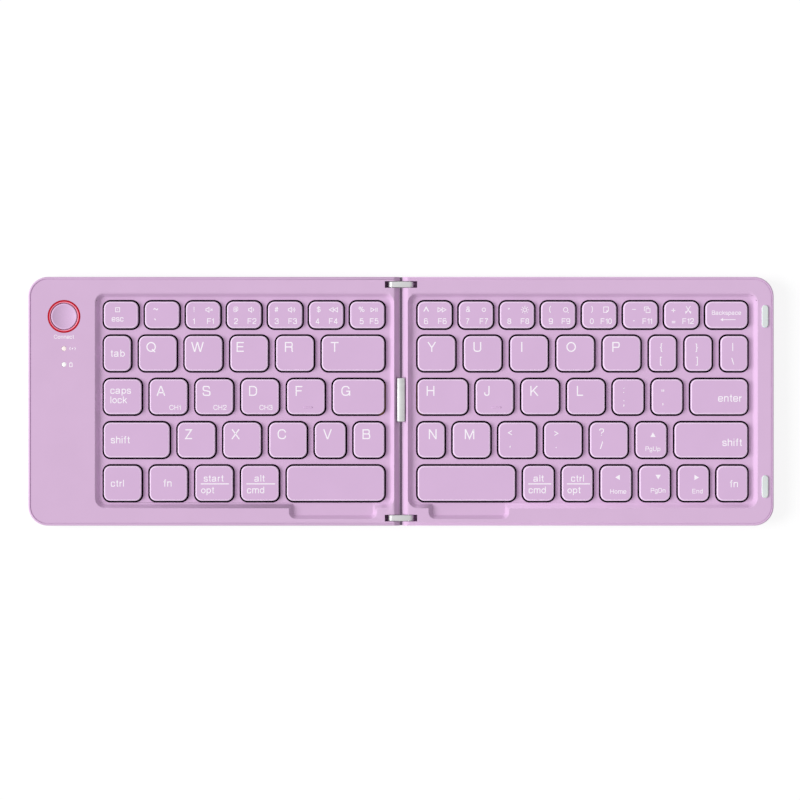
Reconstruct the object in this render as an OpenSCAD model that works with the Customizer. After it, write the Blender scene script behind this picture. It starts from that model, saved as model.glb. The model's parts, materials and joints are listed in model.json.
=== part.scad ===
// Folding keyboard in two halves, joined by a hinge with two parallel axes.
// Millimetres. The origin is under the middle of the seam, on the surface the keyboard stands on.
// +X points to the right half, +Y to the back and +Z up.

/* [Overall size] */
// Width of the open keyboard
open_width = 290; // [288:1:300]
// Depth from front to back
depth = 96.8; // [96:0.2:100]
// Height of the frame's face above the surface
face_height = 7.3; // [7.2:0.1:7.8]
// Radius of the four outer corners, seen from above
corner_radius = 7.6; // [5:0.2:9]
// Radius of the round edge along the top
top_edge = 0.6; // [0.4:0.1:0.7]
// Distance from the outer edge to the fine line around the face
line_inset = 0.8; // [0.8:0.1:1]

/* [Hinge] */
// Width of the seam between the open halves
seam_gap = 0.8; // [0.7:0.1:0.9]
// Radius of the round nose along each half's seam edge
nose_radius = 3; // [2.9:0.1:3]
// Radius of the hinge pins
pin_radius = 0.75; // [0.6:0.05:0.9]
// Thickness of each end link, front to back
link_thickness = 2.3; // [2:0.1:2.3]
// Length of the metal cable cover in the middle of the seam
cable_cover_length = 17; // [14:1:20]

/* [Keys] */
// How far a key travels
key_travel = 1.5; // [1:0.1:1.5]
// Width of a letter key's cell, to the middle of the gap around its cap
letter_cell = 15.2; // [14.8:0.1:15.3]
// Cell width of a key in the number row
number_cell = 13.9; // [13.5:0.1:14]
// Cell width of a narrow key
narrow_cell = 12.5; // [12:0.1:12.6]
// Cell width of a slim key
slim_cell = 11.05; // [10.9:0.05:11.2]
// Width of the gap between a cap and its hole
cap_clearance = 0.66; // [0.4:0.02:0.7]
// Radius of a cap's corners
cap_corner = 2.5; // [1.5:0.1:2.8]
// Bevel along a cap's top edge
cap_bevel = 0.35; // [0.2:0.05:0.5]

/* [Housing] */
// Thickness of the bottom covers
cover_thickness = 1; // [0.8:0.1:1]
// Depth of the key wells below the face
well_depth = 1.9; // [1.6:0.1:1.9]// Thickness of the well floors, which hold the caps in line
well_floor = 1; // [0.8:0.1:1]
// Radius of the round connect button
button_radius = 5.15; // [4.5:0.05:5.2]
// How far the connect button travels
button_travel = 0.4; // [0.2:0.05:0.4]

/* [Hidden] */
$fn = 48;
cut = 1; // how far a cutting shape runs past the face it opens
fit = 0.01; // radial clearance of a pressed pin or a screw in its hole

lilac = [0.80, 0.67, 0.83];
steel = [0.78, 0.79, 0.80];
dark_steel = [0.30, 0.30, 0.32];
board_green = [0.10, 0.36, 0.20];
rubber_white = [0.86, 0.86, 0.88];

// Heights, from the surface up
foot_height = 0.5;
foot_recess = 0.5;
cover_top = foot_height + cover_thickness;
plate_top = cover_top + 0.4;
membrane_top = plate_top + 0.4;
well_z = face_height - well_depth;
floor_under = well_z - well_floor;
cap_top = face_height - 0.3;
cap_base = floor_under + 0.2;
cap_under = cap_top - 1;
dome_top = membrane_top + key_travel + 0.6; // a crushed dome is 0.6 high
scissor_top = membrane_top + key_travel + 1.4; // a folded scissor is 1.4 high
scissor_length = 8.2;
scissor_bar = 0.7;
pivot_z = face_height - nose_radius;
board_z = cover_top + 1;
board_top = board_z + 0.8;
bay_top = face_height - 1.2;
button_stem = bay_top - 1; // lower end of the button's stem
switch_top = button_stem - button_travel;

// Plan sizes. u is the distance from the seam's middle, in either half.
seam_u = seam_gap / 2;
pivot_u = seam_u + nose_radius;
outer_u = open_width / 2;
half_depth = depth / 2;
wall = 1.3;
rail = 5.4; // solid rails along the front and the back, which take the screws
bay_y = half_depth - rail;
cavity_u = 5.2; // where the space behind the seam wall starts

// Key wells: [nearest u, furthest u] of each half at the face, and their front and back edges
left_well = [2.6, outer_u - 26];
right_well = [2.6, outer_u - 6.3];
well_front = -41.5;
well_back = 42;
well_corner = 3.8;
well_cove = 1.2; // radius between the wall and the floor
// Thumb recesses in front of the space bars
left_thumb = [9.4, 43.5];
right_thumb = [10.8, 42];
thumb_front = -45.8;
thumb_back = well_front + well_corner + 3;
thumb_corner = 2.6;
thumb_cove = 0.6;
// Fine line around the face
line_width = 0.25;
line_depth = 0.2;

// Rows of keys, back to front: cells spread evenly between the ends of the half's key field
key_seam_u = 6.2;
left_span = 109.7;
right_span = 128.9;
row_pitch = 16.85;
row_depth = 14.25;
number_row_depth = 11;
row_y = [33.6, for (k = [0:3]) 18.6 - row_pitch * k];
left_rows = [
    [for (k = [1:7]) number_cell],
    [slim_cell, letter_cell, letter_cell, letter_cell, letter_cell, 24.9],
    [letter_cell, letter_cell, letter_cell, letter_cell, letter_cell, 20.6],
    [26.1, letter_cell, letter_cell, letter_cell, narrow_cell, narrow_cell],
    [letter_cell, letter_cell, letter_cell, letter_cell, 38.5],
];
right_rows = [
    [for (k = [1:7]) number_cell, 16.9],
    [for (k = [1:5]) letter_cell, slim_cell, slim_cell, slim_cell],
    [20, letter_cell, letter_cell, letter_cell, narrow_cell, narrow_cell, 22.7],
    [slim_cell, letter_cell, letter_cell, letter_cell, letter_cell, narrow_cell, 28.9],
    [38.5, for (k = [1:6]) narrow_cell],
];

// Hinge. h_ values are heights over the pivots.
link_y = half_depth - 1.8 - link_thickness / 2;
link_play = 0.15;
link_round = 1.45;
link_shoulder = 1.6;
h_link_shoulder = 1.1;
link_reach = pivot_u + link_shoulder - 0.1;
slot_u = pivot_u + 2.9;
pin_length = 4.7;
bore_play = 0.05;
spine_thickness = 0.4;
h_spine_low = -2.4;
h_spine_top = 0.95;
h_tab_top = 1.6;
h_cover_low = 1.05;
h_cover_top = 2.8;
cover_half = 1.42;
cover_arc = 3.7;
cover_side_gap = 0.53;
cover_end_gap = 0.3;
h_recess = 1.2; // floor of the recess beside the cable cover
slope_u = pivot_u - 0.7; // where the slopes across the noses would meet the face
nose_play = 0.12;
cable_cover_y = 0.55;
cable_width = 13;
cable_thickness = 0.15;
cable_z = pivot_z - 1.1;

// Connect button, ring and lights
button_at = [-131.1, 33];
ring_inner = button_radius + 0.3;
ring_outer = ring_inner + 0.95;
ring_depth = 0.8;
flange_radius = ring_outer - 0.2;
flange_thickness = 0.6;
light_radius = 0.95;
lights_y = [20.5, 14.3];

// Board, battery and port in the left half's bay
bay_u = left_well[1] + 2.2;
board_u = [bay_u + 0.6, outer_u - wall];
board_y = [11, bay_y - 0.5];
battery_size = [20, 48, 3.6];
port_y = 26;
port_size = [5.2, 7.5, 2.6];

// Fasteners, feet, magnets and bumpers
screw_us = [20, 75, 128];
screw_y = half_depth - rail / 2 - 0.1;
screw_radius = 0.8;
screw_head = 1.6;
screw_tip = 4.6;
foot_radius = 4;
foot_us = [16, 126];
foot_y = 36;
magnet_u = 135;
magnet_radius = 1.9;
magnet_span = [3.6, 5.8];
bumper_u = outer_u - 3.4;
bumper_size = [2.6, 8.9];
bumper_ys = [33, -33.2];
bumper_seat = 0.6;
bumper_proud = 0.6;

// ---- Key layout ----

function sum_of(v, n) = n <= 0 ? 0 : v[n - 1] + sum_of(v, n - 1);
function rows(half) = half == "left" ? left_rows : right_rows;
function span(half) = half == "left" ? left_span : right_span;
function row_start(half) = half == "left" ? -key_seam_u - left_span : key_seam_u;
function gap(half, row) = let (cells = rows(half)[row])
    (span(half) - sum_of(cells, len(cells))) / (len(cells) - 1);
function cell_width(half, row, i) = rows(half)[row][i];
function cell_depth(row) = row == 0 ? number_row_depth : row_depth;
function cell_at(half, row, i) = [
    row_start(half) + sum_of(rows(half)[row], i) + i * gap(half, row) + cell_width(half, row, i) / 2,
    row_y[row],
];

module at_each_key(half) {
    for (row = [0:4], i = [0:len(rows(half)[row]) - 1])
        translate(cell_at(half, row, i)) children();
}

// ---- Shared forms ----

// Runs its children in the left half's place, from a drawing made for the right half
module on(half) {
    if (half == "left") mirror([1, 0, 0]) children();
    else children();
}

module rounded_rect(w, d, r) {
    square([w - 2 * r, d], center = true);
    square([w, d - 2 * r], center = true);
    for (x = [-1, 1], y = [-1, 1])
        translate([x * (w / 2 - r), y * (d / 2 - r)]) circle(r);
}

module rounded_plate(w, d, h, r) {
    linear_extrude(h) rounded_rect(w, d, r);
}

// Side view of a slab whose top edges are rounded
module slab_profile(w, h, edge) {
    translate([-w / 2, 0]) square([w, h - edge]);
    translate([-w / 2 + edge, 0]) square([w - 2 * edge, h]);
    for (x = [-1, 1]) translate([x * (w / 2 - edge), h - edge]) circle(edge);
}

// Slab with corners of radius r in plan and a round top edge
module rounded_slab(w, d, h, r, edge) {
    rotate([90, 0, 0]) linear_extrude(d - 2 * r, center = true) slab_profile(w, h, edge);
    rotate([90, 0, 90]) linear_extrude(w - 2 * r, center = true) slab_profile(d, h, edge);
    for (x = [-1, 1], y = [-1, 1]) translate([x * (w / 2 - r), y * (d / 2 - r), 0])
        rotate_extrude() intersection() {
            slab_profile(2 * r, h, edge);
            square([r, h]);
        }
}

// Slab with corners of radius r in plan and a bevelled top edge
module bevelled_slab(w, d, h, r, bevel) {
    profile = function (size) [
        [-size / 2, 0], [size / 2, 0], [size / 2, h - bevel],
        [size / 2 - bevel, h], [bevel - size / 2, h], [-size / 2, h - bevel],
    ];
    rotate([90, 0, 0]) linear_extrude(d - 2 * r, center = true) polygon(profile(w));
    rotate([90, 0, 90]) linear_extrude(w - 2 * r, center = true) polygon(profile(d));
    for (x = [-1, 1], y = [-1, 1]) translate([x * (w / 2 - r), y * (d / 2 - r), 0])
        rotate_extrude() polygon([[0, 0], [r, 0], [r, h - bevel], [r - bevel, h], [0, h]]);
}

module stadium(w, d) {
    square([w, d - w], center = true);
    for (y = [-1, 1]) translate([0, y * (d - w) / 2]) circle(w / 2);
}

// Pill that stands on its flat side, with a round top edge
module pill(w, d, h, edge) {
    rotate([90, 0, 0]) linear_extrude(d - w, center = true) slab_profile(w, h, edge);
    for (y = [-1, 1]) translate([0, y * (d - w) / 2, 0])
        rotate_extrude() intersection() {
            slab_profile(w, h, edge);
            square([w / 2, h]);
        }
}

// Walls of the pockets lean back by 3 across for every 4 up. A cove meets such a wall 0.8 of its
// radius past its foot and 0.4 of it above the floor.
wall_slope = 3 / 4;
cove_bend = [0.8, 0.4];

// How much narrower a pocket is at its floor than at the face, on each side
function wall_run(cove) = cove_bend[0] * cove + wall_slope * (well_depth - cove_bend[1] * cove);

// Half the side view of a pocket: a leaning wall and a cove onto the floor.
// The height is 0 at the face, where the wall is at the given reach.
module pocket_side(reach, cove) {
    low = -well_depth;
    foot = reach - wall_run(cove);
    polygon([
        [0, low], [foot, low], [foot, low + cove],
        [foot + cove_bend[0] * cove, low + cove_bend[1] * cove],
        [reach + wall_slope * 2 * cut, 2 * cut], [0, 2 * cut],
    ]);
    translate([foot, low + cove]) circle(cove);
}

module pocket_profile(size, cove) {
    for (side = [0, 1]) mirror([side, 0]) pocket_side(size / 2, cove);
}

// Cuts a pocket from its floor to past the face. The given sizes are those at the face.
module coved_pocket(x_span, y_span, r, cove) {
    w = x_span[1] - x_span[0];
    d = y_span[1] - y_span[0];
    translate([(x_span[0] + x_span[1]) / 2, (y_span[0] + y_span[1]) / 2, face_height]) {
        rotate([90, 0, 0]) linear_extrude(d - 2 * r, center = true) pocket_profile(w, cove);
        rotate([90, 0, 90]) linear_extrude(w - 2 * r, center = true) pocket_profile(d, cove);
        for (x = [0, 1], y = [0, 1]) mirror([x, 0, 0]) mirror([0, y, 0])
            translate([w / 2 - r, d / 2 - r, 0]) rotate_extrude(angle = 90) pocket_side(r, cove);
    }
}

// ---- Housing ----

// Side view of a half near the seam: upright below the pivot, then a nose that is round
// about the pivot, with a flat slope at 45 degrees across it
module seam_profile() {
    difference() {
        union() {
            translate([seam_u, 0]) square([outer_u, pivot_z]);
            translate([pivot_u, 0]) square([outer_u, face_height + cut]);
            translate([pivot_u, pivot_z]) circle(nose_radius);
        }
        translate([slope_u, face_height]) polygon([
            [cut, cut], [-nose_radius, cut], [-nose_radius, -nose_radius],
        ]);
    }
}

// Fine line that follows the outer edge of the face
module edge_line() {
    w = open_width - 2 * line_inset;
    d = depth - 2 * line_inset;
    r = corner_radius - line_inset;
    translate([0, 0, face_height - line_depth]) linear_extrude(line_depth + cut) difference() {
        rounded_rect(w, d, r);
        rounded_rect(w - 2 * line_width, d - 2 * line_width, r - line_width);
    }
}

module half_shell() {
    intersection() {
        translate([0, 0, cover_top])
            rounded_slab(open_width, depth, face_height - cover_top, corner_radius, top_edge);
        rotate([90, 0, 0]) linear_extrude(depth + 2 * cut, center = true) seam_profile();
    }
}

module pin_holes() {
    for (y = [-1, 1]) translate([pivot_u, y * link_y, pivot_z])
        rotate([90, 0, 0]) cylinder(h = pin_length, r = pin_radius + fit, center = true);
}

module link_slots() {
    width = link_thickness + 2 * link_play;
    low = pivot_z - link_round - 0.3;
    for (y = [-1, 1]) translate([-slot_u, y * link_y - width / 2, low])
        cube([2 * slot_u, width, face_height]);
}

// Way through the seam wall for the ribbon cable, and the recess that clears the cable cover
module cable_way() {
    translate([0, cable_cover_y - cable_width / 2 - 0.5, membrane_top])
        cube([cavity_u + cut, cable_width + 1, cable_z + 0.6 - membrane_top]);
    translate([0, cable_cover_y - cable_cover_length / 2 - cover_end_gap, pivot_z + h_recess])
        cube([cover_half + cover_side_gap, cable_cover_length + 2 * cover_end_gap, nose_radius]);
}

module screw_holes() {
    for (u = screw_us, y = [-1, 1]) translate([u, y * screw_y, cover_top - cut])
        cylinder(h = screw_tip - cover_top + cut, r = screw_radius + fit);
}

module magnet_pockets() {
    for (y = [-1, 1]) translate([magnet_u, y * screw_y, cover_top - cut])
        cylinder(h = magnet_span[1] - cover_top + cut, r = magnet_radius + fit);
}

module key_holes(half) {
    for (row = [0:4], i = [0:len(rows(half)[row]) - 1])
        translate([each cell_at(half, row, i), floor_under - cut])
            rounded_plate(cell_width(half, row, i) + cap_clearance, cell_depth(row) + cap_clearance,
                well_floor + 2 * cut, cap_corner + cap_clearance, $fn = 36);
}

module top_case(half, well, thumb) {
    cavity = half == "left" ? outer_u - wall : well[1] + 0.6;
    difference() {
        on(half) difference() {
            half_shell();
            edge_line();
            coved_pocket(well, [well_front, well_back], well_corner, well_cove, $fn = 32);
            coved_pocket(thumb, [thumb_front, thumb_back], thumb_corner, thumb_cove, $fn = 32);
            translate([cavity_u, -bay_y, 0]) cube([cavity - cavity_u, 2 * bay_y, floor_under]);
            pin_holes();
            link_slots();
            cable_way();
            screw_holes();
            magnet_pockets();
        }
        key_holes(half);
    }
}

module left_top_case() {
    color(lilac) difference() {
        top_case("left", left_well, left_thumb);
        // bay for the battery and the board
        on("left") translate([bay_u, -bay_y, 0]) cube([outer_u - wall - bay_u, 2 * bay_y, bay_top]);
        // seat of the red ring, and the button's hole
        translate([each button_at, bay_top - cut])
            cylinder(h = face_height, r = ring_inner);
        translate([each button_at, face_height - ring_depth])
            cylinder(h = face_height, r = ring_outer + fit);
        for (y = lights_y) translate([button_at[0], y, bay_top - cut])
            cylinder(h = face_height, r = light_radius + 0.03);
        // mouth of the charging port
        translate([-outer_u - cut, port_y - port_size[1] / 2 - 0.1, board_top - 0.1])
            cube([wall + 2 * cut, port_size[1] + 0.2, port_size[2] + 0.2]);
    }
}

module right_top_case() {
    color(lilac) difference() {
        top_case("right", right_well, right_thumb);
        for (y = bumper_ys) translate([bumper_u, y, face_height - bumper_seat])
            linear_extrude(bumper_seat + cut) stadium(bumper_size[0] + 2 * fit, bumper_size[1] + 2 * fit);
    }
}

module bottom_cover(half) {
    on(half) difference() {
        intersection() {
            translate([0, 0, cover_top]) mirror([0, 0, 1])
                rounded_slab(open_width, depth, cover_thickness, corner_radius, cover_thickness / 2);
            translate([seam_u, -depth, 0]) cube([outer_u, 2 * depth, cover_top]);
        }
        for (u = screw_us, y = [-1, 1]) translate([u, y * screw_y, 0]) {
            cylinder(h = cover_top + cut, r = screw_radius + 0.1);
            cylinder(h = foot_height + 0.6, r = screw_head + 0.1);
        }
        for (u = foot_us, y = [-1, 1]) translate([u, y * foot_y, 0])
            cylinder(h = foot_height + foot_recess, r = foot_radius + 0.05);
    }
}

module left_bottom_cover() {
    color(lilac) {
        bottom_cover("left");
        // posts under the board
        for (x = [0.15, 0.85], y = [0.1, 0.9])
            translate([-board_u[0] - x * (board_u[1] - board_u[0]),
                       board_y[0] + y * (board_y[1] - board_y[0]), cover_top - 0.2])
                cylinder(h = board_z - cover_top + 0.2, r = 1.2);
    }
}

module right_bottom_cover() {
    color(lilac) bottom_cover("right");
}

module screws(half) {
    head_z = foot_height + 0.1;
    head_height = 0.5;
    cross = [1.8, 0.4];
    cross_depth = 0.3;
    color(steel) on(half) for (u = screw_us, y = [-1, 1]) translate([u, y * screw_y, 0])
        difference() {
            union() {
                translate([0, 0, head_z]) cylinder(h = head_height, r = screw_head);
                translate([0, 0, head_z + head_height / 2])
                    cylinder(h = screw_tip - 0.1 - head_z - head_height / 2, r = screw_radius);
            }
            for (a = [0, 90]) rotate(a) translate([-cross[0] / 2, -cross[1] / 2, 0])
                cube([each cross, head_z + cross_depth]);
        }
}

module feet(half) {
    color([0.2, 0.2, 0.22]) on(half) for (u = foot_us, y = [-1, 1]) translate([u, y * foot_y, 0])
        translate([0, 0, foot_height + foot_recess]) mirror([0, 0, 1])
            rotate_extrude() intersection() {
                slab_profile(2 * foot_radius, foot_height + foot_recess, 0.3);
                square([foot_radius, foot_height + foot_recess]);
            }
}

module magnets(half) {
    color(steel) on(half) for (y = [-1, 1]) translate([magnet_u, y * screw_y, magnet_span[0]])
        cylinder(h = magnet_span[1] - magnet_span[0], r = magnet_radius);
}

module closing_bumpers() {
    color(rubber_white) for (y = bumper_ys) translate([bumper_u, y, face_height - bumper_seat])
        pill(bumper_size[0], bumper_size[1], bumper_seat + bumper_proud, 0.4);
}

// ---- Under the keys ----

module switch_plate(half, well) {
    w = well[1] - cavity_u - 1.4;
    color(steel) on(half) translate([cavity_u + 0.4 + w / 2, 0, cover_top])
        rounded_plate(w, 2 * bay_y - 0.8, plate_top - cover_top, 1.5);
}

module membrane(half, well) {
    w = well[1] - cavity_u - 2.4;
    color([0.75, 0.8, 0.78]) on(half) translate([cavity_u + 0.6 + w / 2, 0, plate_top])
        rounded_plate(w, 2 * bay_y - 1.6, membrane_top - plate_top, 1.5);
}

module domes(half) {
    rise = dome_top - membrane_top;
    base = 3.1; // outer radius where the dome stands
    crown = 1.5; // radius of its flat top
    skin = 0.6;
    lip = 0.3;
    color([0.9, 0.9, 0.9]) at_each_key(half) translate([0, 0, membrane_top])
        rotate_extrude() polygon([
            [base - skin, 0], [base, 0], [base, lip], [crown, rise - 0.5], [crown, rise],
            [0, rise], [0, rise - skin], [crown - 0.5, rise - skin],
        ]);
}

// One tilted frame of a scissor
module scissor_frame(w, tilt) {
    end_bar = 0.7;
    side_bar = 0.45;
    rotate([0, tilt, 0]) difference() {
        cube([scissor_length, w, scissor_bar], center = true);
        cube([scissor_length - 2 * end_bar, w - 2 * side_bar, 2 * scissor_bar], center = true);
    }
}

module scissors(half) {
    outer = 8.2; // depth of the outer frame
    inner = 7.1; // depth of the inner frame
    pivot = [0.8, 0.3]; // length and radius of the pivots between them
    middle = (membrane_top + scissor_top) / 2;
    tilt = asin((scissor_top - membrane_top - scissor_bar - 0.02) / scissor_length);
    color([0.93, 0.93, 0.93]) at_each_key(half) translate([0, 0, middle]) {
        scissor_frame(outer, tilt);
        scissor_frame(inner, -tilt);
        for (y = [-1, 1]) translate([0, y * (outer - 0.9) / 2, 0])
            rotate([90, 0, 0]) cylinder(h = pivot[0], r = pivot[1], center = true);
    }
}

// A cap: bevelled shell, plunger over the dome, and clips that sit on the scissor
module key_cap(w, d) {
    skirt = 1;
    root = cap_under + 0.2; // how far the plunger and the clips run into the cap
    clip = [0.8, 1.6];
    clip_at = [3.5, 3.1];
    color(lilac) {
        difference() {
            translate([0, 0, cap_base]) bevelled_slab(w, d, cap_top - cap_base, cap_corner, cap_bevel);
            translate([0, 0, cap_base - cut]) rounded_plate(w - 2 * skirt, d - 2 * skirt,
                cap_under - cap_base + cut, cap_corner - skirt);
        }
        translate([0, 0, dome_top]) cylinder(h = root - dome_top, r = 1.2);
        for (x = [-1, 1], y = [-1, 1])
            translate([x * clip_at[0] - clip[0] / 2, y * clip_at[1] - clip[1] / 2, scissor_top])
                cube([each clip, root - scissor_top]);
    }
}

module caps(half, row, first, last) {
    for (i = [first:last]) translate(cell_at(half, row, i))
        key_cap(cell_width(half, row, i) - cap_clearance, cell_depth(row) - cap_clearance);
}

// ---- Electronics in the left half ----

module main_board() {
    w = board_u[1] - board_u[0] - 0.4;
    d = board_y[1] - board_y[0];
    controller = [5, 5, 0.9];
    radio_chip = [4, 4, 0.8];
    socket = [2.2, 9, 1.1];
    color(board_green) translate([-board_u[0] - w, board_y[0], board_z]) cube([w, d, board_top - board_z]);
    color(dark_steel) translate([-board_u[0] - 6.5, board_y[0] + 12, board_top]) cube(controller);
    color(dark_steel) translate([-board_u[0] - 6, board_y[0] + 4, board_top]) cube(radio_chip);
    color(rubber_white) translate([-board_u[0] - 2.4, board_y[0] + 19, board_top]) cube(socket);
}

module battery() {
    color([0.72, 0.74, 0.78])
        translate([-(bay_u + outer_u - wall) / 2, board_y[0] - 1.5 - battery_size[1] / 2, cover_top])
            rounded_slab(battery_size[0], battery_size[1], battery_size[2], 1.5, 0.8);
}

module charging_port() {
    sheet = 0.35;
    tongue = [4.4, 4.4, 0.5];
    color(steel) translate([-outer_u + 0.5, port_y, board_top]) difference() {
        translate([0, -port_size[1] / 2, 0]) cube(port_size);
        translate([-cut, -port_size[1] / 2 + sheet, sheet])
            cube([port_size[0] - sheet + cut, port_size[1] - 2 * sheet, port_size[2] - 2 * sheet]);
    }
    // contact tongue
    color(dark_steel) translate([-outer_u + 1.1, port_y - tongue[1] / 2, board_top + 1.05])
        cube(tongue);
}

module connect_switch() {
    color(dark_steel) translate([each button_at, board_top]) {
        translate([-2.2, -2.2, 0]) cube([4.4, 4.4, 0.9]);
        cylinder(h = switch_top - board_top, r = 1);
    }
}

module indicator_lights() {
    color([1, 0.97, 0.95]) for (y = lights_y) translate([button_at[0], y, board_top])
        cylinder(h = face_height - board_top, r = light_radius);
}

module connect_ring() {
    color([0.78, 0.08, 0.16]) translate([each button_at, face_height - ring_depth]) difference() {
        cylinder(h = ring_depth, r = ring_outer);
        translate([0, 0, -cut]) cylinder(h = ring_depth + 2 * cut, r = ring_inner);
    }
}

module connect_button() {
    dish = 60; // radius of the hollow in the button's face
    color(lilac) translate([each button_at, 0]) difference() {
        union() {
            translate([0, 0, bay_top - flange_thickness]) cylinder(h = flange_thickness, r = flange_radius);
            translate([0, 0, bay_top - 0.1]) cylinder(h = face_height - bay_top + 0.1, r = button_radius);
            translate([0, 0, button_stem]) cylinder(h = bay_top - button_stem, r = 1.3);
        }
        translate([0, 0, face_height - 0.2 + dish]) sphere(dish, $fn = 96);
    }
}

// ---- Hinge ----

module hinge_pins(half) {
    color(steel) on(half) for (y = [-1, 1]) translate([pivot_u, y * link_y, pivot_z])
        rotate([90, 0, 0]) cylinder(h = pin_length, r = pin_radius, center = true);
}

// Side view of an end link: round under each pivot, with a flat top and round shoulders
module link_profile() {
    for (x = [-1, 1]) {
        translate([x * pivot_u, 0]) circle(link_round);
        translate([x * (link_reach - link_shoulder), h_link_shoulder]) circle(link_shoulder);
    }
    translate([-pivot_u, -link_round]) square([2 * pivot_u, h_link_shoulder + link_round]);
    translate([-link_reach + link_shoulder, 0])
        square([2 * (link_reach - link_shoulder), h_link_shoulder + link_shoulder]);
}

module end_links() {
    color(steel) for (y = [-1, 1]) translate([0, y * link_y, pivot_z]) rotate([90, 0, 0])
        linear_extrude(link_thickness, center = true) difference() {
            link_profile();
            for (x = [-1, 1]) translate([x * pivot_u, 0]) circle(pin_radius + bore_play);
        }
}

// Thin blade in the seam that ties the end links together and carries the cable cover
module hinge_spine() {
    reach = link_y - link_thickness / 2;
    tab = cable_cover_length - 2;
    color(dark_steel) translate([0, 0, pivot_z]) rotate([90, 0, 90])
        linear_extrude(spine_thickness, center = true) difference() {
            union() {
                translate([-reach, h_spine_low]) square([2 * reach, h_spine_top - h_spine_low]);
                translate([cable_cover_y - tab / 2, 0]) square([tab, h_tab_top]);
            }
            translate([cable_cover_y - cable_width / 2 - 0.5, cable_z - pivot_z - 0.4])
                square([cable_width + 1, 0.8]);
        }
}

// Crowned metal cover between the noses, with sides that follow them
module cable_cover() {
    tab = cable_cover_length - 2;
    color(steel) translate([0, cable_cover_y, pivot_z]) difference() {
        rotate([90, 0, 0]) linear_extrude(cable_cover_length, center = true) difference() {
            intersection() {
                translate([0, h_cover_top - cover_arc]) circle(cover_arc);
                translate([-cover_half, h_cover_low]) square([2 * cover_half, h_cover_top]);
            }
            for (x = [-1, 1]) translate([x * pivot_u, 0]) circle(nose_radius + nose_play);
        }
        translate([-spine_thickness / 2, -tab / 2, 0]) cube([spine_thickness, tab, h_tab_top]);
    }
}

// Flat cable from one membrane, through the spine's window, to the other
module ribbon_cable() {
    low = membrane_top;
    t = cable_thickness;
    path = [[8.6, low], [5.9, low], [4.9, cable_z], [-4.9, cable_z], [-5.9, low], [-8.6, low]];
    color([0.85, 0.55, 0.2]) translate([0, cable_cover_y, 0]) rotate([90, 0, 0])
        linear_extrude(cable_width, center = true) polygon([
            for (p = path) p,
            for (k = [len(path) - 1:-1:0]) path[k] + [0, t],
        ]);
}

// ---- Nodes ----

left_top_case();
left_bottom_cover();
switch_plate("left", left_well);  // left_switch_plate
membrane("left", left_well);  // left_membrane
domes("left");  // left_domes
scissors("left");  // left_scissors
main_board();
battery();
charging_port();
connect_switch();
indicator_lights();
connect_ring();
connect_button();
feet("left");  // left_feet
screws("left");  // left_screws
hinge_pins("left");  // left_hinge_pins
magnets("left");  // left_magnets
end_links();
hinge_spine();
cable_cover();
ribbon_cable();
right_top_case();
right_bottom_cover();
switch_plate("right", right_well);  // right_switch_plate
membrane("right", right_well);  // right_membrane
domes("right");  // right_domes
scissors("right");  // right_scissors
feet("right");  // right_feet
screws("right");  // right_screws
hinge_pins("right");  // right_hinge_pins
magnets("right");  // right_magnets
closing_bumpers();
caps("left", 0, 0, 0);  // key_esc
caps("left", 0, 1, 6);  // keys_left_numbers
caps("left", 1, 0, 0);  // key_tab
caps("left", 1, 1, 5);  // keys_left_upper
caps("left", 2, 0, 0);  // key_caps_lock
caps("left", 2, 1, 5);  // keys_left_home
caps("left", 3, 0, 0);  // key_left_shift
caps("left", 3, 1, 5);  // keys_left_lower
caps("left", 4, 0, 0);  // key_left_ctrl
caps("left", 4, 1, 1);  // key_left_fn
caps("left", 4, 2, 2);  // key_menu
caps("left", 4, 3, 3);  // key_left_alt
caps("left", 4, 4, 4);  // key_left_space
caps("right", 0, 0, 6);  // keys_right_numbers
caps("right", 0, 7, 7);  // key_backspace
caps("right", 1, 0, 7);  // keys_right_upper
caps("right", 2, 0, 5);  // keys_right_home
caps("right", 2, 6, 6);  // key_enter
caps("right", 3, 0, 4);  // keys_right_lower
caps("right", 3, 5, 5);  // key_up_arrow
caps("right", 3, 6, 6);  // key_right_shift
caps("right", 4, 0, 0);  // key_right_space
caps("right", 4, 1, 1);  // key_right_alt
caps("right", 4, 2, 2);  // key_right_ctrl
caps("right", 4, 3, 3);  // key_left_arrow
caps("right", 4, 4, 4);  // key_down_arrow
caps("right", 4, 5, 5);  // key_right_arrow
caps("right", 4, 6, 6);  // key_right_fn
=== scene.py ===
"""Looks of a folding keyboard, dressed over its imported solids.

Metres, in the solids' frame: the origin is under the middle of the seam, +X points to the
right half, +Y to the back and +Z up. Tables of printing are in millimetres.
"""

import json

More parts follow.
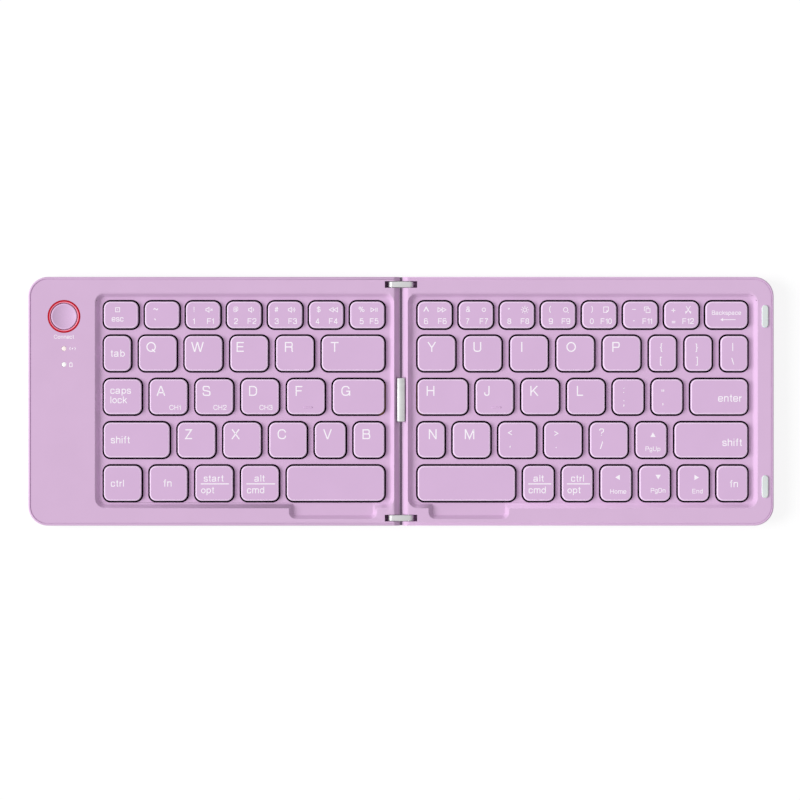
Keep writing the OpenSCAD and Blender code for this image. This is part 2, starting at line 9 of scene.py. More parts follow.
import bmesh
import bpy
import numpy as np
from bpy.props import FloatProperty, FloatVectorProperty, PointerProperty
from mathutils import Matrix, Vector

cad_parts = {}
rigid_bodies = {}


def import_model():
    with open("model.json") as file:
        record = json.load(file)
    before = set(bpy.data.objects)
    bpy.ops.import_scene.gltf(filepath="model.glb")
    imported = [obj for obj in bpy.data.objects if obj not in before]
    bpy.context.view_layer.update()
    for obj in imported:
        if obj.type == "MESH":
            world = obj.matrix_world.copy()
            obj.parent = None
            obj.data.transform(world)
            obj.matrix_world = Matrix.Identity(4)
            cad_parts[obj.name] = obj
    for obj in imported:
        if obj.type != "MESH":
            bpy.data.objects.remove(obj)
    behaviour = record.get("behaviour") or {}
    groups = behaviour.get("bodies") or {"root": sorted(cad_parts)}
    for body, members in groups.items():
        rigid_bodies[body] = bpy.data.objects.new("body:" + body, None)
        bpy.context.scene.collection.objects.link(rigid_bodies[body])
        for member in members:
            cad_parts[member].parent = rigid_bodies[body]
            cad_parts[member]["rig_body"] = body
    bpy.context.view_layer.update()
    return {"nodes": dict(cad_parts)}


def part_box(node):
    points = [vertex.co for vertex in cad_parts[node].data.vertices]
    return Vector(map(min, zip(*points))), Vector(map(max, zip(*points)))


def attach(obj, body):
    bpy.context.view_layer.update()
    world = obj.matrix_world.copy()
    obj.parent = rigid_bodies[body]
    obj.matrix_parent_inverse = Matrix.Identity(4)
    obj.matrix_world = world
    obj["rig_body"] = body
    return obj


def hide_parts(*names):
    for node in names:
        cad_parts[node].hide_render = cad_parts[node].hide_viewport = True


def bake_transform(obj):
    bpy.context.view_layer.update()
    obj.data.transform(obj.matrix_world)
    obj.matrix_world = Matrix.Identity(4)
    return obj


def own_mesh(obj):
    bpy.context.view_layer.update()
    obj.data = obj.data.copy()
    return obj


bl_info = {
    "name": "Folding keyboard looks",
    "version": (1, 0, 0),
    "blender": (4, 5, 0),
    "location": "3D View > Sidebar > Keyboard",
    "description": "Caps, printing, trim and finishes of a folding keyboard, over its solids",
    "category": "Object",
}

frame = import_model()
NODES = frame["nodes"]
MM = 0.001

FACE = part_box("left_top_case")[1].z
CAP_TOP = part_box("key_esc")[1].z
LINK_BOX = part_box("end_links")
COVER_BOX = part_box("cable_cover")
RING_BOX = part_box("connect_ring")
BUTTON_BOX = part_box("connect_button")
LIGHTS_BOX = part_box("indicator_lights")
PINS_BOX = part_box("right_hinge_pins")
PIVOT_Z = (PINS_BOX[0].z + PINS_BOX[1].z) / 2
KEYS = sorted(node for node in NODES if node.startswith("key"))

WELL_DEPTH = 1.9 * MM
CASE_CORNER = (137.4 * MM, 40.8 * MM)  # centre of each round corner of the case
GROOVE = 6.4 * MM  # how far the inner side of the edge groove is from that centre
RIM = 0.2 * MM  # how near the face or the groove still counts as its rim
CONTROLS_X, BUTTON_Y, LIGHTS_Y = 131.1 * MM, 33 * MM, 22 * MM
SINK = 0.02 * MM  # how deep the printing starts under its surface


# ---- Surfaces ----


def read(items, key, width=1, kind=np.float32):
    """One property of all the items, as an array with a row for each."""
    values = np.empty(len(items) * width, kind)
    items.foreach_get(key, values)
    return values.reshape(-1, width) if width > 1 else values


def new_object(name, mesh):
    piece = bpy.data.objects.new(name, mesh)
    bpy.context.scene.collection.objects.link(piece)
    return piece


def new_piece(name, points, faces, material):
    mesh = bpy.data.meshes.new(name)
    mesh.from_pydata(points, [], faces)
    mesh.materials.append(material)
    return new_object(name, mesh)


def add_piece(name, parts, material, body, turn=30, rims=None):
    """Joins the parts, each a pair of points and faces, into one mesh that rides on the body.

    Edges that turn by more than the given degrees stay sharp. The rims, if given, are how much each
    point belongs to a rim with a painted highlight, part by part."""
    points, faces, start = [], [], 0
    for part_points, part_faces in parts:
        points.append(part_points)
        faces += [[i + start for i in face] for face in part_faces]
        start += len(part_points)
    piece = new_piece(name, np.concatenate(points), faces, material)
    piece.data.shade_smooth()
    piece.data.set_sharp_from_angle(angle=np.radians(turn))
    if rims:
        share = np.concatenate(rims).astype(np.float32)
        piece.data.attributes.new("rim", "FLOAT", "POINT").data.foreach_set("value", share)
    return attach(piece, body)


def skin(rings, ends=True):
    """Joins each ring of points to the next with quads: point i to i + 1, round and round.

    With ends, the first and last ring are closed by flat faces. Rings that run anticlockwise
    and rise give faces that point outwards."""
    count, n = rings.shape[:2]
    index = np.arange(count * n).reshape(count, n)
    low, high = index[:-1], index[1:]
    quads = np.stack([low, np.roll(low, -1, 1), np.roll(high, -1, 1), high], -1).reshape(-1, 4)
    faces = quads.tolist()
    if ends:
        faces += [index[0][::-1].tolist(), index[-1].tolist()]
    return rings.reshape(-1, 3), faces


def rounded_rect(width, depth, corner, steps=6):
    """The outline of a rectangle with round corners, as a function of how far it is moved inwards.

    Each corner is its centre plus the corner radius, less the inset, times the unit circle."""
    turn = np.linspace(0, np.pi / 2, steps + 1)
    angle = (np.arange(4)[:, None] * np.pi / 2 + turn).ravel()
    side = np.repeat(np.array([[1, 1], [-1, 1], [-1, -1], [1, -1]]), steps + 1, 0)
    middle, least = np.array([width / 2 - corner, depth / 2 - corner]), 0.02 * MM

    def at(inset):
        radius = max(corner - inset, least)
        past = max(inset - corner, 0)
        return side * (middle - past) + radius * np.column_stack([np.cos(angle), np.sin(angle)])

    return at


def circle(radius, n=64):
    """The outline of a circle, as a function of how far it is moved inwards."""
    angle = np.linspace(0, 2 * np.pi, n, endpoint=False)
    return lambda inset: (radius - inset) * np.column_stack([np.cos(angle), np.sin(angle)])


def carried(outline, profile, at=(0, 0), ends=True):
    """A profile of (inset, height) pairs carried round an outline: one ring of points a pair."""
    rings = [np.column_stack([outline(inset) + np.array(at), np.full(len(outline(0)), height)])
             for inset, height in profile]
    return skin(np.stack(rings), ends)


def quarter(inset, height, radius, steps=4):
    """Pairs along a quarter circle that rises from an upright wall to a flat top."""
    turn = np.linspace(0, np.pi / 2, steps + 1)
    return list(zip(inset + radius * (1 - np.cos(turn)), height - radius * (1 - np.sin(turn))))


def mitres(line, closed=True):
    """At each point of a line, the mean of its two edges' normals and its cosine with them.

    The mean has length one. Both ends of an open line take the normal of their only edge."""
    ahead = np.roll(line, -1, 0) - line
    behind = line - np.roll(line, 1, 0)
    if not closed:
        ahead[-1], behind[0] = behind[-1], ahead[0]
    normals = [np.column_stack([-way[:, 1], way[:, 0]]) / np.linalg.norm(way, axis=1)[:, None]
               for way in (ahead, behind)]
    middle = normals[0] + normals[1]
    middle /= np.linalg.norm(middle, axis=1)[:, None]
    return middle, (middle * normals[0]).sum(1)


def edge_bends(mesh):
    """Angle between the two faces at every edge of a closed mesh, and where the edge is convex.

    An edge is convex where the middle of its smaller face lies below the other face's plane."""
    faces, hair = mesh.polygons, 1e-7
    normal, centre, area = read(faces, "normal", 3), read(faces, "center", 3), read(faces, "area")
    owner = np.repeat(np.arange(len(faces)), read(faces, "loop_total", kind=np.int32))
    order = np.argsort(read(mesh.loops, "edge_index", kind=np.int32), kind="stable")
    pairs = owner[order].reshape(-1, 2)
    sorted_pairs = area[pairs[:, 0]] < area[pairs[:, 1]]
    small, large = np.where(sorted_pairs[:, None], pairs, pairs[:, ::-1]).T
    cosine = (normal[large] * normal[small]).sum(1)
    ends = read(mesh.vertices, "co", 3)[read(mesh.edges, "vertices", 2, np.int32)]
    below = ((centre[small] - ends.mean(1)) * normal[large]).sum(1) < -hair
    return np.degrees(np.arccos(np.clip(cosine, -1, 1))), below, ends


def from_corners(x, y):
    """How far out a point of the face is, from the rectangle of the corners' centres."""
    return np.hypot(np.maximum(np.abs(x) - CASE_CORNER[0], 0),
                    np.maximum(np.abs(y) - CASE_CORNER[1], 0))


def softened(node, name, width, weigh, material, painted_shade, cut):
    """A merged copy of a solid whose convex edges are rounded over by a Bevel.

    The mesh is first cut by the upright plane at x = cut, so that no face has a hole; flat faces on
    each side of it are then merged, but only inside the edge groove. The function weigh gives each
    edge's share of the width from its two ends. The walls of the key holes, which lie below a
    well's floor, get painted_shade: a near-black finish that paints the shadow down the holes."""
    join, on_cut, flat, sharp = 0.001 * MM, 0.003 * MM, 0.5, 25  # the angles in degrees
    inner_end, outer_end, back, below = 5, 139, 42, 0.05  # round the key holes, in millimetres
    mesh = NODES[node].data.copy()
    mesh.name = name
    merged = bmesh.new()
    merged.from_mesh(mesh)
    bmesh.ops.remove_doubles(merged, verts=merged.verts, dist=join)
    bmesh.ops.bisect_plane(merged, geom=merged.verts[:] + merged.edges[:] + merged.faces[:],
                           dist=2 * join, plane_co=(cut, 0, 0), plane_no=(1, 0, 0))
    places = np.array([point.co for point in merged.verts])
    within = from_corners(places[:, 0], places[:, 1]) < GROOVE + RIM
    inner = [point for point, kept in zip(merged.verts, within) if kept]
    kept = set(inner)
    between = [edge for edge in merged.edges if kept.issuperset(edge.verts)
               and max(abs(point.co.x - cut) for point in edge.verts) > on_cut]
    bmesh.ops.dissolve_limit(merged, angle_limit=np.radians(flat), verts=inner, edges=between)
    merged.to_mesh(mesh)
    merged.free()
    bend, convex, ends = edge_bends(mesh)
    weight = np.where((bend > sharp) & convex, weigh(ends), 0).astype(np.float32)
    mesh.attributes.new("bevel_weight_edge", "FLOAT", "EDGE").data.foreach_set("value", weight)
    mesh.shade_smooth()
    mesh.set_sharp_from_angle(angle=np.radians(sharp))
    mesh.materials.clear()
    mesh.materials.append(material)
    mesh.materials.append(painted_shade)
    # Painted shadow: the key holes' walls below the floor, inside the wells, take the second
    # material.
    x, y, z = np.abs(read(mesh.polygons, "center", 3)).T / MM
    hole = (z < (FACE - WELL_DEPTH) / MM - below) & (x > inner_end) & (x < outer_end) & (y < back)
    mesh.polygons.foreach_set("material_index", hole.astype(np.int32))
    piece = new_object(name, mesh)
    bevel = piece.modifiers.new("Round edges", "BEVEL")
    bevel.limit_method = "WEIGHT"
    bevel.width = width
    bevel.segments = 3
    bevel.use_clamp_overlap = False
    bevel.harden_normals = True
    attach(piece, body_of(node))
    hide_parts(node)
    return piece


def triangles(node):
    """The three corners of every triangle of a solid."""
    mesh = NODES[node].data
    mesh.calc_loop_triangles()
    return read(mesh.vertices, "co", 3)[read(mesh.loop_triangles, "vertices", 3, np.int32)]


def cap_boxes(node):
    """Middle, width and depth of every cap in a node, left to right.

    The triangles' spans in x are sorted and merged where they overlap."""
    corners, gap = triangles(node), 0.5 * MM
    x, y = corners[..., 0], corners[..., 1]
    order = np.argsort(x.min(1))
    low, high = x.min(1)[order], np.maximum.accumulate(x.max(1)[order])
    breaks = np.flatnonzero(low[1:] > high[:-1] + gap)
    lows = low[np.concatenate([[0], breaks + 1])]
    highs = high[np.concatenate([breaks, [-1]])]
    front, back = y.min(), y.max()
    return [((a + b) / 2, (front + back) / 2, b - a, back - front) for a, b in zip(lows, highs)]


# ---- Finishes ----


def plug(tree, node, *places, **names):
    """Sets a node's inputs, by place or by name, or links them where an output is given.

    An underscore stands for the space in an input's name."""
    named = [(name.replace("_", " "), value) for name, value in names.items()]
    for key, value in [*enumerate(places), *named]:
        if isinstance(value, bpy.types.NodeSocket):
            tree.links.new(value, node.inputs[key])
        else:
            node.inputs[key].default_value = value
    return node


def add_node(tree, kind, *places, **names):
    return plug(tree, tree.nodes.new("ShaderNode" + kind), *places, **names)


def worked_out(tree, operation, first, second):
    """A number from two others, each a socket or a plain number."""
    step = add_node(tree, "Math", first, second)
    step.operation = operation
    return step.outputs[0]


def mixed(tree, share, first, second):
    """The first shader where the share is nought and the second where it is one."""
    return add_node(tree, "MixShader", share, first, second).outputs[0]


def finish(name, colour, roughness, tone=0.03, tone_size=12, grain=0.004, grain_size=0.25,
           stretch=(1, 1, 1), sheen_range=0.06, **sockets):
    """A finish whose tone drifts over tone_size millimetres and whose grain is grain_size across.

    Colour is the given one, lighter and darker by the tone; roughness and a bump of grain
    millimetres follow the fine noise. The sockets hold for the whole surface."""
    material = bpy.data.materials.new(name)
    material.use_nodes = True
    tree, ends, smoothest = material.node_tree, (0.3, 0.7), 0.02
    place = add_node(tree, "TexCoord").outputs["Object"]
    scaled = add_node(tree, "Mapping", place, Scale=stretch).outputs["Vector"]
    drift, fine = [
        add_node(tree, "TexNoise", scaled, Scale=1 / (size * MM), Detail=detail).outputs["Fac"]
        for size, detail in ((tone_size, 3), (grain_size, 2))]
    ramp = add_node(tree, "ValToRGB", drift)
    for element, position, share in zip(ramp.color_ramp.elements, ends, (1 - tone, 1 + tone)):
        element.position = position
        element.color = (*[min(c * share, 1) for c in colour], 1)
    rough = add_node(tree, "MapRange", fine, To_Min=max(roughness - sheen_range, smoothest),
                     To_Max=roughness + sheen_range)
    bump = add_node(tree, "Bump", Height=fine, Distance=grain * MM)
    plug(tree, tree.nodes["Principled BSDF"], Base_Color=ramp.outputs["Color"],
         Roughness=rough.outputs["Result"], Normal=bump.outputs["Normal"], **sockets)
    return material


def painted_rim_highlight(material, lighter, white=1.0):
    """Makes a finish lighter where the piece's own attribute "rim" is one: a painted highlight
    along round edges.

    White is how much red and blue are lightened for one of green: below one it pales."""
    tree = material.node_tree
    colour = tree.nodes["Principled BSDF"].inputs["Base Color"]
    rim = add_node(tree, "Attribute")
    rim.attribute_name = "rim"
    mix = add_node(tree, "MixRGB", rim.outputs["Fac"], colour.links[0].from_socket,
                   (lighter * white, lighter, lighter * white, 1))
    mix.blend_type = "MULTIPLY"
    tree.links.new(mix.outputs["Color"], colour)
    return material


def banded(material, at, inner, outer, stops):
    """Tints a round finish by how far out from its upright axis a point is.

    Each stop is a pair of the share of the way from the inner radius to the outer, and a colour."""
    tree = material.node_tree
    place = add_node(tree, "TexCoord").outputs["Object"]
    centre = add_node(tree, "Mapping", place, Location=(-at[0], -at[1], 0), Scale=(1, 1, 0))
    away = add_node(tree, "VectorMath", centre.outputs["Vector"])
    away.operation = "LENGTH"
    share = add_node(tree, "MapRange", away.outputs["Value"], From_Min=inner, From_Max=outer)
    bands = add_node(tree, "ValToRGB", share.outputs["Result"])
    elements = bands.color_ramp.elements
    for element, (position, colour) in zip(elements, (stops[0], stops[-1])):
        element.position, element.color = position, (*colour, 1)
    for position, colour in stops[1:-1]:
        elements.new(position).color = (*colour, 1)
    plug(tree, tree.nodes["Principled BSDF"], Base_Color=bands.outputs["Color"])


def give(part, *look, **values):
    """Puts a new finish on the slots of a part's solid, or of its left and its right one."""
    material = finish(*look, **values)
    nodes = [node for node in (part, "left_" + part, "right_" + part) if node in NODES]
    if not nodes:
        raise KeyError(part)
    for node in nodes:
        for slot in NODES[node].material_slots:
            slot.material = material


def body_of(node):
    return NODES[node]["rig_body"]


# ---- Printing ----

# Each mark: (words or icon, x, y, height, side), from the cap's middle. The side says what x
# is: the left edge "l", the right edge "r" or the middle "c", with y under the capitals; or
# "m" for x and y in the middle of the mark. A "bar" is a level line of the given half width.

SPEAKER = "-1.35,-.4 -.95,-.4 -.1,-.95 -.1,.95 -.95,.4 -1.35,.4 -1.35,-.4;"
ICONS = {
    "hide": "-.8,-.8 .8,-.8 .8,.8 -.8,.8 -.8,-.8; -.2,0 .2,0",
    "mute": SPEAKER + ".45,.4 1.25,-.4; .45,-.4 1.25,.4",
    "soft": SPEAKER + ".45,-.55 .7,0 .45,.55",
    "loud": SPEAKER + ".4,-.5 .6,0 .4,.5; .9,-.9 1.25,0 .9,.9",
    "back": "-.1,.85 -1.6,0 -.1,-.85 -.1,.85; 1.6,.85 .1,0 1.6,-.85 1.6,.85",
    "play": "-1.25,.75 .1,0 -1.25,-.75 -1.25,.75; .65,-.75 .65,.75; 1.2,-.75 1.2,.75",
    "next": ".1,.85 1.6,0 .1,-.85 .1,.85; -1.6,.85 -.1,0 -1.6,-.85 -1.6,.85",
    "page": "-.9,-1 -.9,1.1 .95,1.1 .95,-.4 .35,-1 -.9,-1; .35,-1 .35,-.4 .95,-.4",
    "pair": "-1.1,-.5 -1.1,1.1 .4,1.1 .4,.6; -.45,-1.1 -.45,.4 1.1,.4 1.1,-1.1 -.45,-1.1",
    "trim": "-.85,1.4 .45,-.65; .85,1.4 -.45,-.65; .4,-.7 1,-.75 .95,-1.35 .4,-.7; -.4,-.7 -1,-.75"
            " -.95,-1.35 -.4,-.7",
    "arrow": "-2.7,0 2.9,0; -2.1,.4 -2.8,0 -2.1,-.4 -2.1,.4",
    "cell": "-.5,-.8 -.5,.6 .5,.6 .5,-.8 -.5,-.8; -.2,.88 .2,.88",
    "waves": "-.85,-.6 -1.15,0 -.85,.6; -.25,.1 .25,.1; -.25,-.1 .25,-.1; .85,-.6 1.15,0 .85,.6",
}
RINGS = {"dim": (0.7, 0), "bright": (0.7, 8), "find": (0.85, 1)}


def number_marks(upper, lower, label, icon, x, label_x, icon_x, height=2.0, up=2.15, down=-3.55):
    """Sign over number on the left, icon over label on the right."""
    return [(upper, x[0], up, height, "m"), (lower, x[1], down, 2.2, "c"),
            (label, label_x, -3.5, 2.15, "c"), (icon, icon_x, 2.0, 1, "icon")]


def letters(characters, lefts, low=0.36):
    """A big letter on each cap, by its left edge."""
    return [[(character, left, low, 3.85, "l")] for character, left in zip(characters, lefts)]


def pair(upper, lower, x, up=2.6, down=-2.6, height=2.5):
    return [(upper, x, up, height, "m"), (lower, x, down, height, "m")]


def two_level(upper, lower, middle, half, left):
    return [(upper, middle - 0.4, 0.7, 2.6, "c"), ("bar", middle, -0.2, half, "bar"),
            (lower, left, -3.85, 2.6, "l")]


def arrow_key(words, x, low, turn, over=0, up=2.3):
    return [("triangle", x + over, up, turn, "triangle"), (words, x, low, 1.75, "c")]


# Left and right edges count from the cap's left edge; the others from its middle.
CHANNELS = [[(f"CH{number}", 12.1, -5.1, 1.9, "r")] for number in (1, 2, 3)]
KEY_PRINT = {
    "key_esc": [[("hide", -1.3, 2.0, 1, "icon"), ("esc", -1.27, -2.55, 2.2, "c")]],
    "keys_left_numbers": [
        [("~", -2.45, 2.25, 2.6, "m"), ("`", -2.65, -1.75, 2.7, "m")],
        number_marks("!", "1", "F1", "mute", (-3.5, -3.65), 2.9, 2.45),
        number_marks("@", "2", "F2", "soft", (-3.2, -3.2), 3.1, 3.1, 1.7),
        number_marks("#", "3", "F3", "loud", (-3.35, -3.3), 2.95, 2.6),
        number_marks("$", "4", "F4", "back", (-2.9, -3.35), 2.85, 2.85),
        number_marks("%", "5", "F5", "play", (-2.2, -2.2), 2.7, 2.7),
    ],
    "key_tab": [[("tab", 2.5, -1.25, 2.7, "l")]],
    "keys_left_upper": letters("QWERT", (2.85, 2.5, 2.4, 3.4, 3.2), 0.62),
    "key_caps_lock": [[("caps", 2.55, 1.2, 2.65, "l"), ("lock", 2.55, -2.5, 2.65, "l")]],
    "keys_left_home": [big + small for big, small in zip(
        letters("ASDFG", (2.65, 2.7, 3.0, 3.3, 3.25)), CHANNELS + [[], []])],
    "key_left_shift": [[("shift", 2.7, -1.25, 2.75, "l")]],
    "keys_left_lower": letters("ZXCVB", (2.75, 3.05, 3.25, 3.2, 3.4)),
    "key_left_ctrl": [[("ctrl", 2.7, -1.25, 2.65, "l")]],
    "key_left_fn": [[("fn", -0.4, -1.25, 2.75, "c")]],
    "key_menu": [two_level("start", "opt", 0.3, 5.5, 2.2)],
    "key_left_alt": [two_level("alt", "cmd", 0.35, 5.6, 2.3)],
    "keys_right_numbers": [
        number_marks("^", "6", "F6", "next", (-3.35, -3.4), 2.95, 2.8, 3.7),
        number_marks("&", "7", "F7", "dim", (-3.0, -3.25), 3.15, 3.1),
        number_marks("*", "8", "F8", "bright", (-3.15, -3.0), 3.1, 3.05, 1.8, 2.4),
        number_marks("(", "9", "F9", "find", (-3.1, -2.85), 3.05, 2.9),
        number_marks(")", "0", "F10", "page", (-2.85, -2.9), 2.75, 2.6),
        number_marks("_", "-", "F11", "pair", (-2.5, -2.5), 2.7, 2.65, down=-3.1),
        number_marks("+", "=", "F12", "trim", (-3.15, -3.1), 2.6, 2.6, 2.4, 1.75),
    ],
    "key_backspace": [[("Backspace", 0, 0.05, 1.62, "c"), ("arrow", 0.65, -1.85, 1, "icon")]],
    "keys_right_upper": letters("YUIOP", (3.75, 3.65, 4.2, 3.75, 3.6), 0.62) + [
        pair("{", "[", -0.6, 2.3, -3), pair("}", "]", -0.65, 2.2, -3),
        pair("|", "\\", -0.5, 2.55, -3)],
    "keys_right_home": letters("HJKL", (3.45, 3.2, 3.4, 3.7)) + [
        pair(":", ";", -1.75, 2.5, -2.6, 2.7), pair('"', "'", -1.65, 2.4, -2.9, 2.7)],
    "key_enter": [[("enter", 20.0, -1.9, 2.85, "r")]],
    "keys_right_lower": letters("NM", (4.3, 4.65)) + [
        pair("<", ",", -2.8, 2.85, -2.6), pair(">", ".", -2.7, 2.6, -2.9),
        pair("?", "/", -2.85, 3.0, -2, 2.8)],
    "key_up_arrow": [arrow_key("PgUp", 0.7, -4.25, 1, up=1.8)],
    "key_right_shift": [[("shift", 26.3, -2.3, 2.85, "r")]],
    "key_right_alt": [two_level("alt", "cmd", 0.5, 4.5, 2.1)],
    "key_right_ctrl": [two_level("ctrl", "opt", 0.5, 4.5, 2.1)],
    "key_left_arrow": [arrow_key("Home", 0.9, -4.0, 2, up=2.35)],
    "key_down_arrow": [arrow_key("PgDn", 1.35, -3.6, 3, up=2.75)],
    "key_right_arrow": [arrow_key("End", 1.6, -3.9, 0, -0.6)],
    "key_right_fn": [[("fn", 0.6, -1.5, 2.75, "c")]],
}
HOMING_BARS = {"keys_left_home": 3, "keys_right_home": 1}

